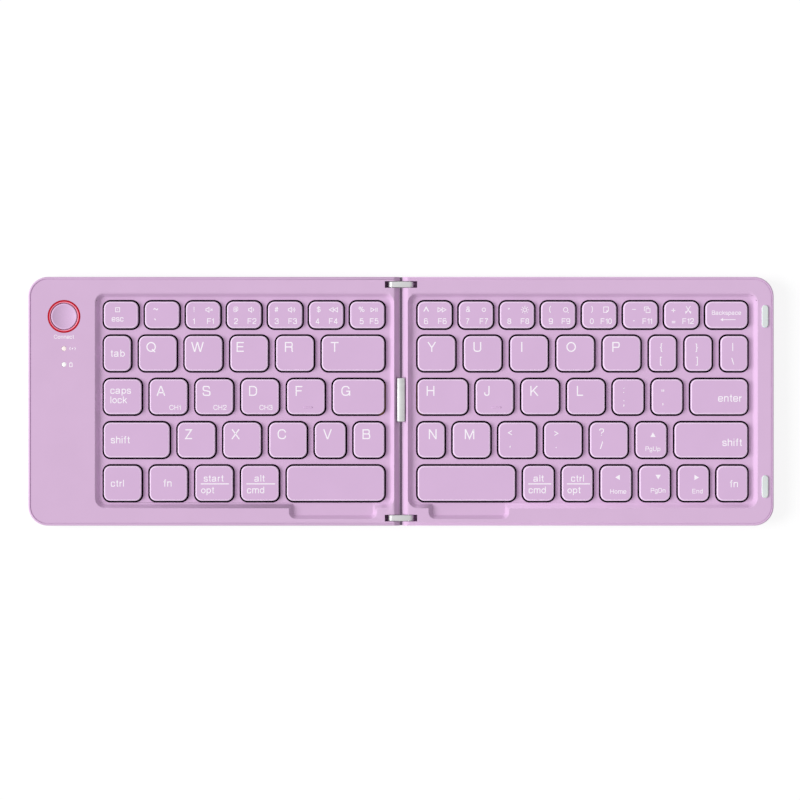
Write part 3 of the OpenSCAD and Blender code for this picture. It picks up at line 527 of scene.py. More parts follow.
# Strokes of the letters, 2.4 wide on capitals 20 high: the middle line of each, from corner to
# corner; a line that starts with "~" is smooth and "o" is an oval between two corners of its box.
# The icons above are drawn in the same way, in millimetres about their middle.
CAPITAL, NIB = 20, 1.2
OVAL = [(0, 3), (0, 7), (3, 10), (7, 10), (10, 7), (10, 3), (7, 0), (3, 0)]
STEM_LEFT, STEM_RIGHT, OPEN_SIDED = "BDEFHIKLMNPRUbhiklmnpru", "HIJMNUadghilmnu", "fkrtAEFLTV"
LETTERS = {
    "A": "0,0 7,18.8 8.4,18.8 15.4,0; 2.6,6.4 12.8,6.4",
    "B": "0,0 0,20; ~0,18.8 7.8,18.8 12.4,18.8 12.4,10.6 7.8,10.6 0,10.6; ~0,10.6 8.2,10.6"
         " 13.4,10.6 13.4,1.2 8.2,1.2 0,1.2",
    "C": "~14.8,13.4 14,16.6 11.4,18.9 4.2,18.9 0,14.8 0,5.2 4.2,1.1 11.6,1.1 14.4,3.6 15.1,7.2",
    "D": "0,0 0,20; ~0,18.8 6.2,18.8 10.4,18.8 14,14.8 14,5.2 10.4,1.2 6.2,1.2 0,1.2",
    "E": "13.4,18.8 0,18.8 0,1.2 13.6,1.2; 0,10.5 12.4,10.5",
    "F": "12.6,18.8 0,18.8 0,0; 0,10.2 11.2,10.2",
    "G": "~14.6,14 13.8,16.8 11.2,18.9 4.2,18.9 0,14.8 0,5.2 4.2,1.1 10.6,1.1 15.4,4.2 15.6,9.4;"
         " 8.6,9.4 15.8,9.4 15.8,.2",
    "H": "0,0 0,20; 13.4,0 13.4,20; 0,10.6 13.4,10.6",
    "I": "0,0 0,20",
    "J": "~8.8,20 8.8,8 8.8,3.6 6.8,1.1 2.2,1.1 0,3.6 0,7",
    "K": "0,0 0,20; 13,20 .2,7; 4.4,11.4 14.2,0",
    "L": "0,20 0,1.2 11.6,1.2",
    "M": "0,0 0,20; .4,19.4 8.4,1.2 16.4,19.4; 16.8,0 16.8,20",
    "N": "0,0 0,20; .4,19.4 13,.6; 13.4,0 13.4,20",
    "O": "o0,1.1 17,18.9",
    "P": "0,0 0,20; ~0,18.8 8.2,18.8 12.8,18.8 12.8,9.2 8.2,9.2 0,9.2",
    "Q": "o0,1.1 17,18.9; 10.4,5.4 16.6,-.6",
    "R": "0,0 0,20; ~0,18.8 8.6,18.8 13.6,18.8 13.6,10 8.6,10 0,10; ~7.8,10 13.2,10 13.2,5 13.2,2"
         " 14.6,0",
    "S": "~13,14.2 12.6,18.9 6.6,18.9 .4,18.9 .4,14.4 .4,11.4 6.8,10.2 13.8,8.8 13.8,5.4 13.8,1.1"
         " 7,1.1 .2,1.1 0,6.4",
    "T": "0,18.8 16,18.8; 8,0 8,18.8",
    "U": "~0,20 0,8 0,4 3.2,1.1 10.2,1.1 13.4,4 13.4,8 13.4,20",
    "V": "0,20 7,1.1 8.2,1.1 15.2,20",
    "W": "0,20 5.4,1.1 6.4,1.1 11.1,18.9 12.1,18.9 16.8,1.1 17.8,1.1 23.2,20",
    "X": "0,0 14.6,20; .4,20 15,0",
    "Y": "0,20 7.6,8.6 15.2,20; 7.6,8.6 7.6,0",
    "Z": "0,18.8 12.4,18.8 .6,1.2 13.6,1.2",
    "a": "~.6,10.4 1,13.5 5.6,13.5 10.2,13.5 10.2,10 10.2,3 10.2,1.4 12,1.2; ~10,8.6 7.8,7.6"
         " 5.2,7.4 0,7 0,3.8 0,1 4.2,1 8.4,1 10.2,4.6",
    "b": "0,0 0,20; o0,1.1 10.8,13.5",
    "c": "~10,9.6 9.2,13.5 5.4,13.5 0,13.5 0,7.3 0,1.1 5.4,1.1 9.6,1.1 10.2,5.4",
    "d": "10.8,0 10.8,20; o0,1.1 10.8,13.5",
    "e": ".4,7.2 11,7.2; ~11,7.2 11,13.5 5.6,13.5 0,13.5 0,7.3 0,1.1 5.6,1.1 9.6,1.1 10.8,4.2",
    "f": "~7,18.8 3.6,19.4 3.6,15.6 3.6,8 3.6,0; 0,13.6 6.8,13.6",
    "g": "o0,1.1 10.2,13.5; ~10.2,14.6 10.2,4 10.2,0 10.2,-4.6 5,-4.6 .6,-4.6 .6,-1.6",
    "h": "0,0 0,20; ~0,8 .4,13.5 5.4,13.5 9.6,13.5 9.6,9.4 9.6,4 9.6,0",
    "i": "0,0 0,14.6; 0,17.6 0,20",
    "k": "0,0 0,20; 9.4,14.6 .2,5.4; 3.6,8.8 10,0",
    "l": "0,0 0,20",
    "m": "0,0 0,14.6; ~0,8 .4,13.5 4.6,13.5 8.6,13.5 8.6,9.4 8.6,4 8.6,0; ~8.6,8 9,13.5 13.2,13.5"
         " 17.2,13.5 17.2,9.4 17.2,4 17.2,0",
    "n": "0,0 0,14.6; ~0,8 .4,13.5 5.4,13.5 9.6,13.5 9.6,9.4 9.6,4 9.6,0",
    "o": "o0,1.1 11.2,13.5",
    "p": "0,-5.6 0,14.6; o0,1.1 10.8,13.5",
    "r": "0,0 0,14.6; ~0,7.4 .2,13.4 5.6,13.2",
    "s": "~9,9.8 8.6,13.5 4.6,13.5 .2,13.5 .2,10.4 .2,8.4 4.6,7.4 9.6,6.2 9.6,4 9.6,1.1 4.8,1.1"
         " .2,1.1 0,4.8",
    "t": "~3.2,18.8 3.2,6 3.2,3 3.2,1 6.6,1.2; 0,13.6 6.4,13.6",
    "u": "9.6,0 9.6,14.6; ~0,14.6 0,8 0,5 0,1.1 4.2,1.1 9.2,1.1 9.6,6.6",
    "0": "o0,1.1 11.6,18.9",
    "1": "0,14.6 4,15.2 5.2,19; 5.4,0 5.4,20",
    "2": "~1,13.2 1,18.9 6.6,18.9 12.2,18.9 12.2,14 12.2,11 7.6,8 1.6,4.4 1.2,1.2; 0,1.2 12.6,1.2",
    "3": "~.2,14.4 .8,18.9 5.6,18.9 11,18.9 11,14.8 11,10.8 4.4,10.8; ~4.4,10.8 11.6,10.8 11.6,5.6"
         " 11.6,1.1 5.6,1.1 .4,1.1 0,6",
    "4": "9.2,0 9.2,20; 8.8,19.2 1,5.8; 0,5.2 13,5.2",
    "5": "11.2,18.8 2.2,18.8 1,10.4; ~.8,9.8 3.4,12.8 6.4,12.8 11.6,12.4 11.6,6.8 11.6,1.1 5.6,1.1"
         " .6,1.1 0,5.4",
    "6": "~10.8,16.2 9.8,18.9 6.2,18.9 0,18.9 0,9.6 0,1.1 6,1.1 11.6,1.1 11.6,6.4 11.6,11.4"
         " 6.2,11.4 1.2,11.4 .2,7.2",
    "7": "0,18.8 11.8,18.8; ~11.4,18.6 5.4,12 3.8,0",
    "8": "o.6,10.4 11,18.9; o0,1.1 11.6,10.4",
    "9": "~.8,3.8 1.8,1.1 5.4,1.1 11.6,1.1 11.6,10.4 11.6,18.9 5.6,18.9 0,18.9 0,13.6 0,8.6"
         " 5.4,8.6 10.4,8.6 11.4,12.8",
    "~": "~0,8 1,12.4 4.2,11.4 8,8.2 11,7.4 12,11.8",
    "`": "0,20 3.6,15.4",
    "!": "0,6 0,20; 0,0 0,2.6",
    "@": "~15.8,3 11.8,-2 8.4,-2.2 0,-2.2 0,8 0,19 10.2,19 18.6,19 18.6,11 18.6,4.4 14.2,4.4"
         " 11.8,4.4 12.4,7.4 13.6,13.4; o5,4.6 12.6,13.4",
    "#": "3.4,0 5.6,20; 8.6,0 10.8,20; 0,6.2 12.8,6.2; 1,13.4 13.8,13.4",
    "$": "~11.2,14 11,17.8 5.8,17.8 .4,17.8 .4,13.8 .4,11.2 5.8,10 11.8,8.8 11.8,5.6 11.8,1.9"
         " 5.8,1.9 .2,1.9 0,6; 5.9,-2.6 5.9,22",
    "%": "o0,10.6 7.6,19; o12.8,.8 20.4,9.2; 14.4,20 5.6,-.6",
    "^": "0,10 5,19 10,10",
    "&": "~14.2,0 4.8,11.2 2.4,14 2.4,19 6.4,19 10.4,19 10.4,15.4 10.4,12.6 4.8,10.2 0,8 0,5 0,1"
         " 5.2,1 11.2,1 12.6,9.4",
    "*": "3.6,12 3.6,20.4; 0,18.4 7.2,14; 0,14 7.2,18.4",
    "(": "~4.2,20.4 0,15 0,7.4 0,0 4.2,-5.4",
    ")": "~0,20.4 4.2,15 4.2,7.4 4.2,0 0,-5.4",
    "_": "0,-2.4 14,-2.4",
    "-": "0,7.4 7.2,7.4",
    "+": "0,7 13,7; 6.5,.5 6.5,13.5",
    "=": "0,9.6 13,9.6; 0,4.4 13,4.4",
    "{": "~7,20 3.6,20 3.6,16 3.6,12 3.6,8 0,7.6; ~0,7.4 3.6,7 3.6,3 3.6,-1 3.6,-5 7,-5",
    "}": "~0,20 3.4,20 3.4,16 3.4,12 3.4,8 7,7.6; ~7,7.4 3.4,7 3.4,3 3.4,-1 3.4,-5 0,-5",
    "[": "4.6,20 0,20 0,-4.8 4.6,-4.8",
    "]": "0,20 4.6,20 4.6,-4.8 0,-4.8",
    "|": "0,-4.6 0,20.4",
    "\\": "0,20.4 6.4,-.4",
    "/": "0,-.4 6.4,20.4",
    ":": "0,0 0,2.6; 0,12 0,14.6",
    ";": "1,2.6 1,0 0,-3.6; 1,12 1,14.6",
    '"': "0,13.6 0,20; 5,13.6 5,20",
    "'": "0,13.6 0,20",
    "<": "11.4,13.8 0,7.4 11.4,1",
    ">": "0,13.8 11.4,7.4 0,1",
    ",": "1,2.6 1,0 0,-3.6",
    ".": "0,0 0,2.6",
    "?": "~0,14.4 .4,19 5.4,19 10.6,19 10.6,14.6 10.6,11.6 7.8,9.8 5.2,8.2 5.2,5.6; 5.2,0 5.2,2.6",
}


def smooth(points, closed=False, steps=3):
    """A curve drawn by its corners: quadratic arcs between the middles of their joins.

    Each arc is (1-t)^2 start + 2t(1-t) corner + t^2 end; an open curve keeps both its ends."""
    if closed:
        corner = points
        start = (np.roll(points, 1, 0) + points) / 2
        end = (np.roll(points, -1, 0) + points) / 2
    else:
        corner = points[1:-1]
        middles = (corner[1:] + corner[:-1]) / 2
        start = np.concatenate([points[:1], middles])
        end = np.concatenate([middles, points[-1:]])
    t = (np.arange(steps) / steps)[None, :, None]
    arcs = (1 - t)**2 * start[:, None] + 2 * t * (1 - t) * corner[:, None] + t**2 * end[:, None]
    last = points[-1:] if not closed else start[:1]
    return np.concatenate([arcs.reshape(-1, 2), last])


def drawn_lines(text):
    """The middle lines of the strokes of a letter or an icon."""
    lines = []
    for part in text.split(";"):
        kind = part.strip()[0]
        corners = np.array([point.split(",") for point in part.strip(" ~o").split()], float)
        if kind == "o":
            low, high = corners
            share = np.array(OVAL) / 10
            lines.append(smooth(low + share * (high - low), closed=True))
        else:
            lines.append(smooth(corners) if kind == "~" else corners)
    return lines


def room_beside(character, stems):
    """Room a letter keeps at one side: most beside a stem, least beside an open shape."""
    stem, open_side, other = 1.85, 0.5, 1.05
    return stem if character in stems else open_side if character in OPEN_SIDED else other


def word_lines(words):
    """The lines of every letter in a row, from x = 0, each with its own room at both sides."""
    lines, x, room = [], 0, 0
    for character in words:
        drawn = drawn_lines(LETTERS[character])
        left = min(line[:, 0].min() for line in drawn) - NIB
        right = max(line[:, 0].max() for line in drawn) + NIB
        x += room + room_beside(character, STEM_LEFT) if room else 0
        lines += [line + np.array([x - left, 0]) for line in drawn]
        x += right - left
        room = room_beside(character, STEM_RIGHT)
    return lines, x


def stroke(line, half, low, high):
    """A line of points with a square section: two points each side at both heights, with mitres.

    Each side point is moved off the line along the mean of its neighbours' normals, divided by
    the cosine of half the turn. An open line climbs a little, so that it can cross itself."""
    climb, sharpest = 1.5e-6, 0.4
    line = np.array(line, float)
    closed = np.allclose(line[0], line[-1])
    if closed:
        line = line[:-1]
    middle, cosine = mitres(line, closed)
    reach = half / np.maximum(cosine, sharpest)
    left, right = line + middle * reach[:, None], line - middle * reach[:, None]
    n = len(line)
    rise = np.zeros(n) if closed else np.linspace(0, climb, n)
    rows = [np.column_stack([side, z + rise])
            for side, z in ((left, low), (right, low), (right, high), (left, high))]
    rings = np.stack(rows, 1)
    if closed:
        rings = np.concatenate([rings, rings[:1]])
    points, faces = skin(rings, ends=not closed)
    return points, [face[::-1] for face in faces]


def icon_parts(name, x, y, size, low, high):
    """Strokes of an icon: its own lines, or a ring with rays, drawn to size about (x, y)."""
    pen, gap, ray, step, sides = 0.13, 0.35, 0.5, 1e-6, 16
    if name in RINGS:
        radius, rays = RINGS[name]
        turns = [np.linspace(0, 2 * np.pi, sides + 1)]
        turns += [2 * np.pi * k / rays - np.pi / 4 for k in range(rays)]
        ways = [np.stack([np.cos(turn), np.sin(turn)], -1) for turn in turns]
        lines = [radius * ways[0]]
        lines += [np.array([way * (radius + gap), way * (radius + gap + ray)]) for way in ways[1:]]
    else:
        lines = drawn_lines(ICONS[name])
    return [stroke((line * size + (x, y)) * MM, pen * MM, low, high + k * step)
            for k, line in enumerate(lines)]


def mark_parts(mark, box, low, high):
    """Points and faces of one mark in its place on a cap.

    Small letters get a little more ink, and each stroke of a letter is a step higher."""
    words, x, y, height, side = mark
    ink, step, bar, reach = (0.012 if height < 3 else 0), 1e-7, 0.2, 1.2
    x, y = x + box[0] / MM - (box[2] / MM / 2 if side in ("l", "r") else 0), y + box[1] / MM
    if side == "icon":
        return icon_parts(words, x, y, height, low, high)
    if side == "bar":
        ends = np.array([(x - height, y), (x + height, y)])
        return [stroke(ends * MM, bar * MM, low, high)]
    if side == "triangle":
        turn = height * np.pi / 2 + np.array([0, 2, 4]) * np.pi / 3
        corner = (np.column_stack([np.cos(turn), np.sin(turn)]) * reach + (x, y)) * MM
        return [skin(np.stack([np.column_stack([corner, np.full(3, z)]) for z in (low, high)]))]
    lines, width = word_lines(words)
    scale = height / CAPITAL
    start = np.array([x - {"l": 0, "r": width}.get(side, width / 2) * scale, y])
    if side == "m":
        level = np.concatenate(lines)[:, 1]
        start[1] -= (level.min() + level.max()) / 2 * scale
    return [stroke((line * scale + start) * MM, (NIB * scale + ink) * MM, low, high + k * step)
            for k, line in enumerate(lines)]


# ---- Pieces ----


def cap_parts(box, edge, steps=5):
    """One key cap with a hollow underside: its profile carried round a rounded rectangle.

    The profile runs from the ceiling of the hollow down the inner wall, round the rim, up the outer
    wall and over a quarter circle onto the top. Its points come with their share of the painted rim
    highlight: all of it on the quarter circle, none from 0.1 mm inside it."""
    x, y, width, depth = box
    skirt, wall, rim, corner, fade = 2.4 * MM, 1 * MM, 0.12 * MM, 2.5 * MM, 0.1 * MM
    base, ceiling = CAP_TOP - skirt, CAP_TOP - wall
    profile = [(wall, ceiling), (wall, base + rim), (wall - rim, base), (rim, base),
               (0, base + rim)]
    highlight_share = [0] * (len(profile) + 1) + [1] * steps + [0]
    profile += quarter(0, CAP_TOP, edge, steps) + [(edge + fade, CAP_TOP)]
    part = carried(rounded_rect(width, depth, corner), profile, (x, y))
    return part, np.repeat(highlight_share, len(part[0]) // len(profile))


def plunger_parts(box):
    """The stem over the dome and the four clips on the scissor, under one cap."""
    ceiling, nick, clip_x, clip_y = CAP_TOP - 0.9 * MM, 0.1 * MM, 3.5 * MM, 3.1 * MM
    stem, stem_end, clip_end = circle(1.2 * MM, 24), 2.5 * MM, 1.7 * MM
    clip = rounded_rect(0.8 * MM, 1.6 * MM, 0.15 * MM, 2)
    pegs = [(stem, stem_end, 0, 0)]
    pegs += [(clip, clip_end, side * clip_x, end * clip_y) for side in (-1, 1) for end in (-1, 1)]
    return [carried(outline, [(nick, CAP_TOP - reach - nick), (0, CAP_TOP - reach), (0, ceiling)],
                    (box[0] + right, box[1] + back)) for outline, reach, right, back in pegs]


def link_outline(n=24):
    """Side view of an end link, anticlockwise from below: at each end the further of two circles,
    one round the pivot and one in the shoulder, seen along rays from a point inside both."""
    start, circles = np.array([3.35, 0.4]), (((3.4, 0.0), 1.45), ((3.3, 1.1), 1.6))
    angle = np.linspace(-np.pi / 2, np.pi / 2, n)
    way = np.column_stack([np.cos(angle), np.sin(angle)])
    reach = np.zeros(n)
    for middle, radius in circles:
        off = start - np.array(middle)
        along = way @ off
        reach = np.maximum(reach, -along + np.sqrt(along**2 - off @ off + radius**2))
    right = start + way * reach[:, None]
    return np.concatenate([right, right[::-1] * (-1, 1)]) * MM


def inwards(outline, inset):
    """An outline moved inwards: each point goes along the mean normal of its two edges."""
    sharpest = 0.3
    middle, cosine = mitres(outline)
    return outline + middle * inset / np.maximum(cosine, sharpest)[:, None]


def bar_parts(outline, front, back, edge, at_z):
    """A side view carried from front to back, with both ends' edges rounded over."""
    rounding = quarter(0, 0, edge, 3)
    places = [(-fall, front + inset) for inset, fall in rounding]
    places += [(inset, back + fall) for inset, fall in rounding]
    shapes = [(inwards(outline, inset), y) for inset, y in places]
    points, faces = skin(np.stack([
        np.column_stack([shape[:, 0], np.full(len(shape), y), shape[:, 1] + at_z])
        for shape, y in shapes]))
    return points, [face[::-1] for face in faces]


def cover_outline(n=13):
    """Cross section of the cable cover: a crown arc on top and a hollow side along each nose."""
    half, crown, peak, low, lip, pivot, nose = 1.42, 3.7, 2.8, 1.1, 0.12, 3.4, 3.13
    across = np.linspace(half, -half, n)
    top = np.column_stack([across, peak - crown + np.sqrt(crown**2 - across**2)])
    rise = np.linspace(low, top[0, 1] - lip, 6)
    side = np.minimum(pivot - np.sqrt(np.maximum(nose**2 - rise**2, 0)), half)
    right = np.column_stack([side, rise])
    return np.concatenate([right, top, right[::-1] * (-1, 1)]) * MM


# ---- Settings ----


def colour_setting(name, description, default):
    return FloatVectorProperty(
        name=name, description=description, default=default, subtype="COLOR", size=3, min=0, max=1
    )


def length_setting(name, description, default):
    return FloatProperty(name=name, description=description, default=default, min=0, unit="LENGTH",
                         precision=5)


class KeyboardColours(bpy.types.PropertyGroup):
    """Colours a maker would change"""

    housing: colour_setting("Housing", "Colour of both cases", (0.675, 0.462, 0.680))
    caps: colour_setting("Caps", "Colour of the key caps", (0.677, 0.460, 0.695))
    printing: colour_setting("Printing", "Colour of the letters on the caps", (0.93, 0.88, 0.95))
    ring: colour_setting("Ring", "Colour of the ring round the button", (0.52, 0.003, 0.015))
    ring_lip: colour_setting("Ring lip", "Colour of the ring's inner lip", (0.92, 0.28, 0.38))
    metal: colour_setting("Metal", "Colour of the hinge's metal", (0.57, 0.57, 0.575))


class KeyboardSizes(bpy.types.PropertyGroup):
    """Sizes a maker would change"""

    case_edge: length_setting("Case edge", "Width of the round edge along a well's back", 0.0006)
    cap_edge: length_setting("Cap edge", "Radius of the round edge on top of each cap", 0.00045)
    print_height: length_setting("Print height", "Thickness of the printing", 0.00002)
    metal_edge: length_setting("Metal edge", "Radius of the edges of the hinge's metal", 0.0002)


class StageSettings(bpy.types.PropertyGroup):
    """Light and camera"""

    lens: FloatProperty(name="Lens", description="Focal length of the camera", default=200,
                        min=20, subtype="DISTANCE_CAMERA")
    key_light: FloatProperty(name="Key light", description="Strength of the light from the left",
                             default=2.8, min=0)
    ambient: FloatProperty(name="Ambient", description="Strength of the light from all round",
                           default=0.485, min=0)


# ---- Operators ----


class KEYBOARD_OT_housing(bpy.types.Operator):
    """Finishes both cases, their covers, feet, screws, pins and bumpers"""

    bl_idname = "folding_keyboard.housing"
    bl_label = "Housing"

    def execute(self, context):
        colours, sizes = context.scene.keyboard_colours, context.scene.keyboard_sizes
        plastic = finish("Housing_plastic", colours.housing, 0.48, tone=0.012, grain=0.003,
                         Specular_IOR_Level=0.0)
        # Painted shadow: a near-black finish for the key holes' walls, in place of the real shadow
        # down the holes.
        painted_shade = finish("Key_hole_shade", (0.05, 0.02, 0.055), 0.7, tone=0.1, grain=0.003,
                       Specular_IOR_Level=0.1)
        for side, cut in (("left", -CONTROLS_X), ("right", 141.6 * MM)):
            case = softened(side + "_top_case", side + "_case_shell", sizes.case_edge,
                            self.edge_share, plastic, painted_shade, cut)
        give("bottom_cover", "Cover_plastic", colours.housing, 0.55, tone=0.02, grain=0.008,
             grain_size=0.4, Specular_IOR_Level=0.0)
        give("feet", "Foot_rubber", (0.045, 0.042, 0.05), 0.8, tone=0.15, grain=0.015,
             grain_size=0.5)
        give("closing_bumpers", "Bumper_rubber", (0.74, 0.76, 0.74), 0.6, tone=0.03, grain=0.006,
             Subsurface_Weight=0.1)
        give("screws", "Screw_steel", (0.5, 0.5, 0.52), 0.32, tone=0.06, grain=0.002, Metallic=1.0)
        give("hinge_pins", "Pin_steel", (0.55, 0.55, 0.57), 0.25, tone=0.05, grain=0.001,
             Metallic=1.0)
        give("magnets", "Magnet_nickel", (0.62, 0.6, 0.56), 0.3, tone=0.05, grain=0.001,
             Metallic=1.0)
        return {"FINISHED"}

    def edge_share(self, ends):
        """How much an edge of the case is rounded: most at the wells' backs, least at the keys."""
        at_sides, at_holes, back_starts, back_grows, level = 0.37, 0.18, 38.2, 3.6, 0.05 * MM
        end_wall, nose, button_room, light_room = 139.2 * MM, 3.9 * MM, 7 * MM, 2 * MM
        low, high = ends[..., 2].min(1), ends[..., 2].max(1)
        x, y = np.abs(ends).max(1)[:, :2].T
        rim = low > FACE - RIM
        hole = np.maximum(abs(low - FACE + WELL_DEPTH), abs(high - FACE + WELL_DEPTH)) < level
        outer = (from_corners(ends[..., 0], ends[..., 1]).max(1) > GROOVE) | (x > end_wall)
        seam = np.abs(ends[..., 0]).min(1) < nose
        button = np.hypot(x - CONTROLS_X, y - BUTTON_Y) < button_room
        lights = (np.abs(x - CONTROLS_X) < light_room) & (y < LIGHTS_Y)
        back = np.clip((ends[..., 1].mean(1) / MM - back_starts) / back_grows, 0, 1)
        share = at_sides + (1 - at_sides) * back
        return np.where(hole, at_holes, share * (rim & ~outer & ~seam & ~button & ~lights))


class KEYBOARD_OT_caps(bpy.types.Operator):
    """Makes the key caps, with round edges and hollow undersides, in place of their solids"""

    bl_idname = "folding_keyboard.caps"
    bl_label = "Key caps"

    def execute(self, context):
        colours, sizes = context.scene.keyboard_colours, context.scene.keyboard_sizes
        # Painted highlight: the caps' colour is lightened on their round top edges.
        material = painted_rim_highlight(finish("Cap_plastic", colours.caps, 0.42, tone=0.012, grain=0.002,
                                   Specular_IOR_Level=0.0), lighter=1.42, white=0.88)
        for node in KEYS:
            parts, rims = [], []
            for k, box in enumerate(cap_boxes(node)):
                cap, highlight_share = cap_parts(box, sizes.cap_edge)
                under = plunger_parts(box)
                if HOMING_BARS.get(node) == k:
                    under.append(self.homing_bar(box))
                parts += [cap] + under
                rims += [highlight_share] + [np.zeros(len(part[0])) for part in under]
            piece = add_piece("cap_" + node, parts, material, body_of(node), rims=rims)
            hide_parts(node)
        return {"FINISHED"}

    def homing_bar(self, box):
        """The raised bar that a fingertip finds: a small pill with a round top."""
        right, forward, length, width, corner = [k * MM for k in (0.75, 4.15, 3.6, 0.6, 0.29)]
        at = (box[0] + right, box[1] - forward)
        root, top, edge = CAP_TOP - 0.1 * MM, CAP_TOP + 0.22 * MM, 0.2 * MM
        profile = [(0, root), (0, CAP_TOP)] + quarter(0, top, edge, 3)
        return carried(rounded_rect(length, width, corner, 4), profile, at)


class KEYBOARD_OT_printing(bpy.types.Operator):
    """Prints the letters, numbers and signs on the caps"""

    bl_idname = "folding_keyboard.printing"
    bl_label = "Printing"

    def execute(self, context):
        colour = context.scene.keyboard_colours.printing
        material = finish("Key_print", colour, 0.5, tone=0.02, tone_size=1, grain=0.001)
        for node, rows in KEY_PRINT.items():
            boxes = cap_boxes(node)
            if len(boxes) != len(rows):
                raise ValueError(f"{node} has {len(boxes)} caps and printing for {len(rows)}")
            self.prints("print_" + node, zip(boxes, rows), CAP_TOP, material, node)
        panel = [("Connect", -131.05, 24.35, 1.5, "c"), ("waves", -127.75, 20.5, 1, "icon"),
                 ("cell", -128.4, 14.25, 1, "icon")]
        self.prints("print_panel", [((0, 0, 0), panel)], FACE, material, "left_top_case")
        return {"FINISHED"}

    def prints(self, name, places, surface, material, node):
        """All marks of the places, pairs of a cap's box and its marks, as one thin piece."""
        height = bpy.context.scene.keyboard_sizes.print_height
        parts = [part for box, marks in places for mark in marks
                 for part in mark_parts(mark, box, surface - SINK, surface + height)]
        add_piece(name, parts, material, body_of(node))


class KEYBOARD_OT_hinge(bpy.types.Operator):
    """Makes the end links and the cable cover, and finishes the blade and the flat cable"""

    bl_idname = "folding_keyboard.hinge"
    bl_label = "Hinge"

    def execute(self, context):
        colours, sizes = context.scene.keyboard_colours, context.scene.keyboard_sizes
        steel = finish("Hinge_steel", colours.metal, 0.5, tone=0.05, tone_size=2, grain=0.0015,
                       grain_size=0.12, stretch=(0.12, 1, 1), Metallic=0.5)
        width, cover_edge = 2.3 * MM, 0.3 * MM
        parts = [bar_parts(link_outline(), front, front + width, sizes.metal_edge, PIVOT_Z)
                 for front in (LINK_BOX[0].y, LINK_BOX[1].y - width)]
        links = add_piece("hinge_end_links", parts, steel, "hinge_links")
        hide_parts("end_links")
        part = bar_parts(cover_outline(), COVER_BOX[0].y, COVER_BOX[1].y, cover_edge, PIVOT_Z)
        cover = add_piece("hinge_cable_cover", [part], steel, "hinge_links")
        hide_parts("cable_cover")
        self.blade(finish("Blade_coating", (0.10, 0.027, 0.11), 0.8, tone=0.1, grain=0.002,
                          Specular_IOR_Level=0.15))
        self.ribbon()
        return {"FINISHED"}

    def blade(self, coating):
        """The blade with its coating, and a lip of it beyond each end link.

        The solid's points are moved apart in x; a lip is a rectangle with round corners."""
        wider, thick, length, beyond, below = 1.7, 0.68 * MM, 1.8 * MM, 0.8 * MM, 0.65 * MM
        corner, edge = 0.12 * MM, 0.1 * MM
        mesh = NODES["hinge_spine"].data.copy()
        mesh.name = "hinge_blade"
        points = read(mesh.vertices, "co", 3) * np.array([wider, 1, 1], np.float32)
        mesh.vertices.foreach_set("co", points.ravel())
        mesh.materials.clear()
        mesh.materials.append(coating)
        blade = new_object("hinge_blade", mesh)
        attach(blade, "hinge_links")
        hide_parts("hinge_spine")
        profile = [(0, points[:, 2].min())] + quarter(0, points[:, 2].max() - below, edge, 3)
        lips = [carried(rounded_rect(thick, length, corner, 4), profile, (0, y))
                for y in (LINK_BOX[0].y - beyond, LINK_BOX[1].y + beyond)]
        add_piece("hinge_blade_lips", lips, coating, "hinge_links")

    def ribbon(self):
        """The flat cable in two lengths that meet on the seam, each sloping down away from the
        seam.

        The sheet is the solid's path carried from front to back, with a row of raised tracks."""
        low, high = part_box("ribbon_cable")
        film = finish("Cable_film", (0.42, 0.19, 0.04), 0.35, tone=0.12, tone_size=1.2,
                      grain=0.004, grain_size=0.3, stretch=(0.05, 1, 1))
        lift, thick, track, bend, end = PIVOT_Z - 1.1 * MM, 0.11 * MM, 0.02 * MM, 4.9 * MM, 5.9 * MM
        knots = np.array([[0, lift], [bend, lift], [end, low.z], [high.x, low.z]])
        steps, columns, far, near = 31, 53, 6.5 * MM, 0.3 * MM
        share = np.linspace(0, 3, steps)
        path = np.column_stack([np.interp(share, range(4), knots[:, k]) for k in (0, 1)])
        across = np.linspace(low.y, high.y, columns)
        tracks = track * (np.arange(columns) % 4 < 2)
        for side, name, body in ((-1, "left", "left_half"), (1, "right", "right_half")):
            upper = np.stack(np.broadcast_arrays(
                side * path[:, :1], across, path[:, 1:] + thick + tracks), -1)
            lower = upper.copy()
            lower[..., 2] = path[:, 1:]
            points, faces = skin(np.concatenate([lower, upper[:, ::-1]], 1))
            if side > 0:
                faces = [face[::-1] for face in faces]
            piece = new_piece("ribbon_" + name, points, faces, film)
            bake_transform(piece)
            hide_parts("ribbon_cable")


